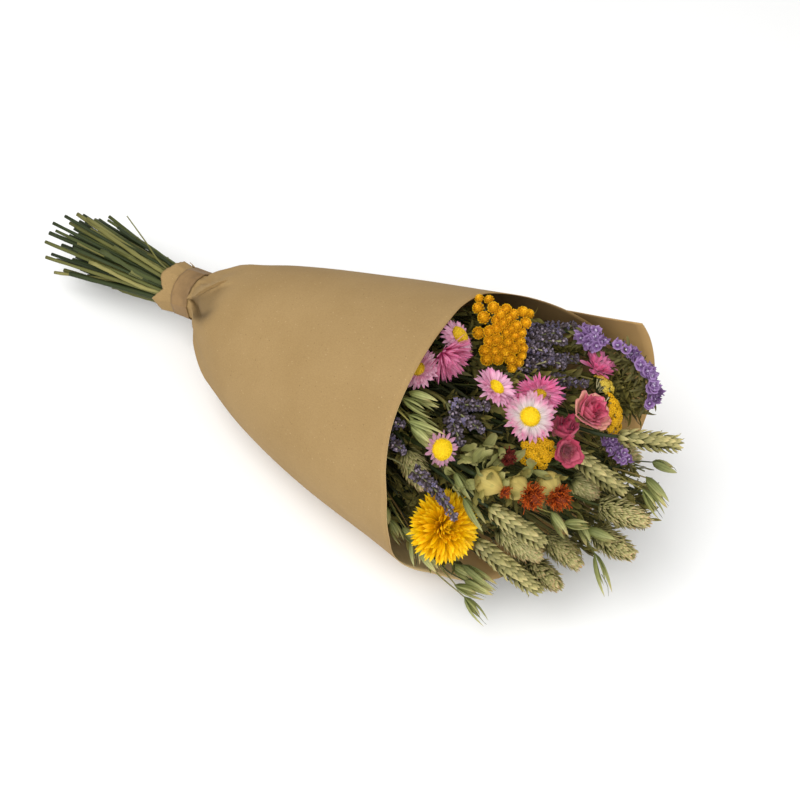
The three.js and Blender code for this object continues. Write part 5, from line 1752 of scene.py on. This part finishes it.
def over_paper(degrees, s):
    """The tape's inner radius over the panels and the lap of the paper."""
    step = np.where(degrees > 180, degrees - 360, degrees)
    lap = np.interp(step, [-120, -108, -96, -60, -40, -28], [0, 0.2, 1, 1, 0.2, 0])
    phi = np.radians(degrees)
    wrinkle = 0.07 * np.abs(np.sin(phi * 5 + 0.1 * s)) + 0.03 * np.sin(phi * 23 - 0.3 * s)
    flat = NECK_RADIUS * panels(s + 8, np.where(degrees > 285, degrees - 360, degrees))
    return NECK_RADIUS + SHEET + flat + LAP * lap + wrinkle


ring_round(-9, 9, over_paper, lambda d, s: over_paper(d, s) + 0.4, 220, tape_skin(), "neck_tape_strip",
           "neck_tape", "paper_tape")
ring_round(-4, 4, lambda d, s: 16.4 + 0 * d, lambda d, s: 17.6 + 0.06 * np.sin(np.radians(d) * 40), 96,
           rubber_skin(), "stem_band_ring", "stem_band", "rubber_band")


# Floor and soft studio light
FLOOR = 12
WORLD_LIGHT = 0.62
LIT_POINT = Vector((0, 0, 0.08))

# Name, place, size and power of each light
LIGHTS = (("key", (-0.5, -0.9, 1.9), 1.6, 24.0), ("fill", (1.5, -0.7, 1.3), 1.8, 14.0),
          ("front", (0.62, -1.1, 1.35), 0.9, 9.0))


def make_stage():
    p = Paint("pale_floor", 0.9, 0.1)
    tone = p.noise(p.place(), 3.0, 2.0)
    mesh = bpy.data.meshes.new("floor")
    corners = [(x * FLOOR, y * FLOOR, 0) for x, y in ((-1, -1), (1, -1), (1, 1), (-1, 1))]
    mesh.from_pydata(corners, [], [(0, 1, 2, 3)])
    mesh.materials.append(p.finish(p.mix(p.swing(tone, 0.0, 1.0), (246, 246, 245), (249, 249, 248))))
    floor = bpy.data.objects.new("floor", mesh)
    bpy.context.scene.collection.objects.link(floor)
    world = bpy.data.worlds.new("studio")
    bpy.context.scene.world = world
    world.use_nodes = True
    background = world.node_tree.nodes["Background"]
    background.inputs["Color"].default_value = (1, 1, 1, 1)
    background.inputs["Strength"].default_value = WORLD_LIGHT
    for name, place, size, power in LIGHTS:
        data = bpy.data.lights.new(name, "AREA")
        data.size, data.energy = size, power
        light = bpy.data.objects.new(name, data)
        light.location = place
        light.rotation_mode = "QUATERNION"
        light.rotation_quaternion = (LIT_POINT - Vector(place)).to_track_quat("-Z", "Y")
        bpy.context.scene.collection.objects.link(light)
    bpy.context.scene.view_settings.view_transform = "Standard"


make_stage()
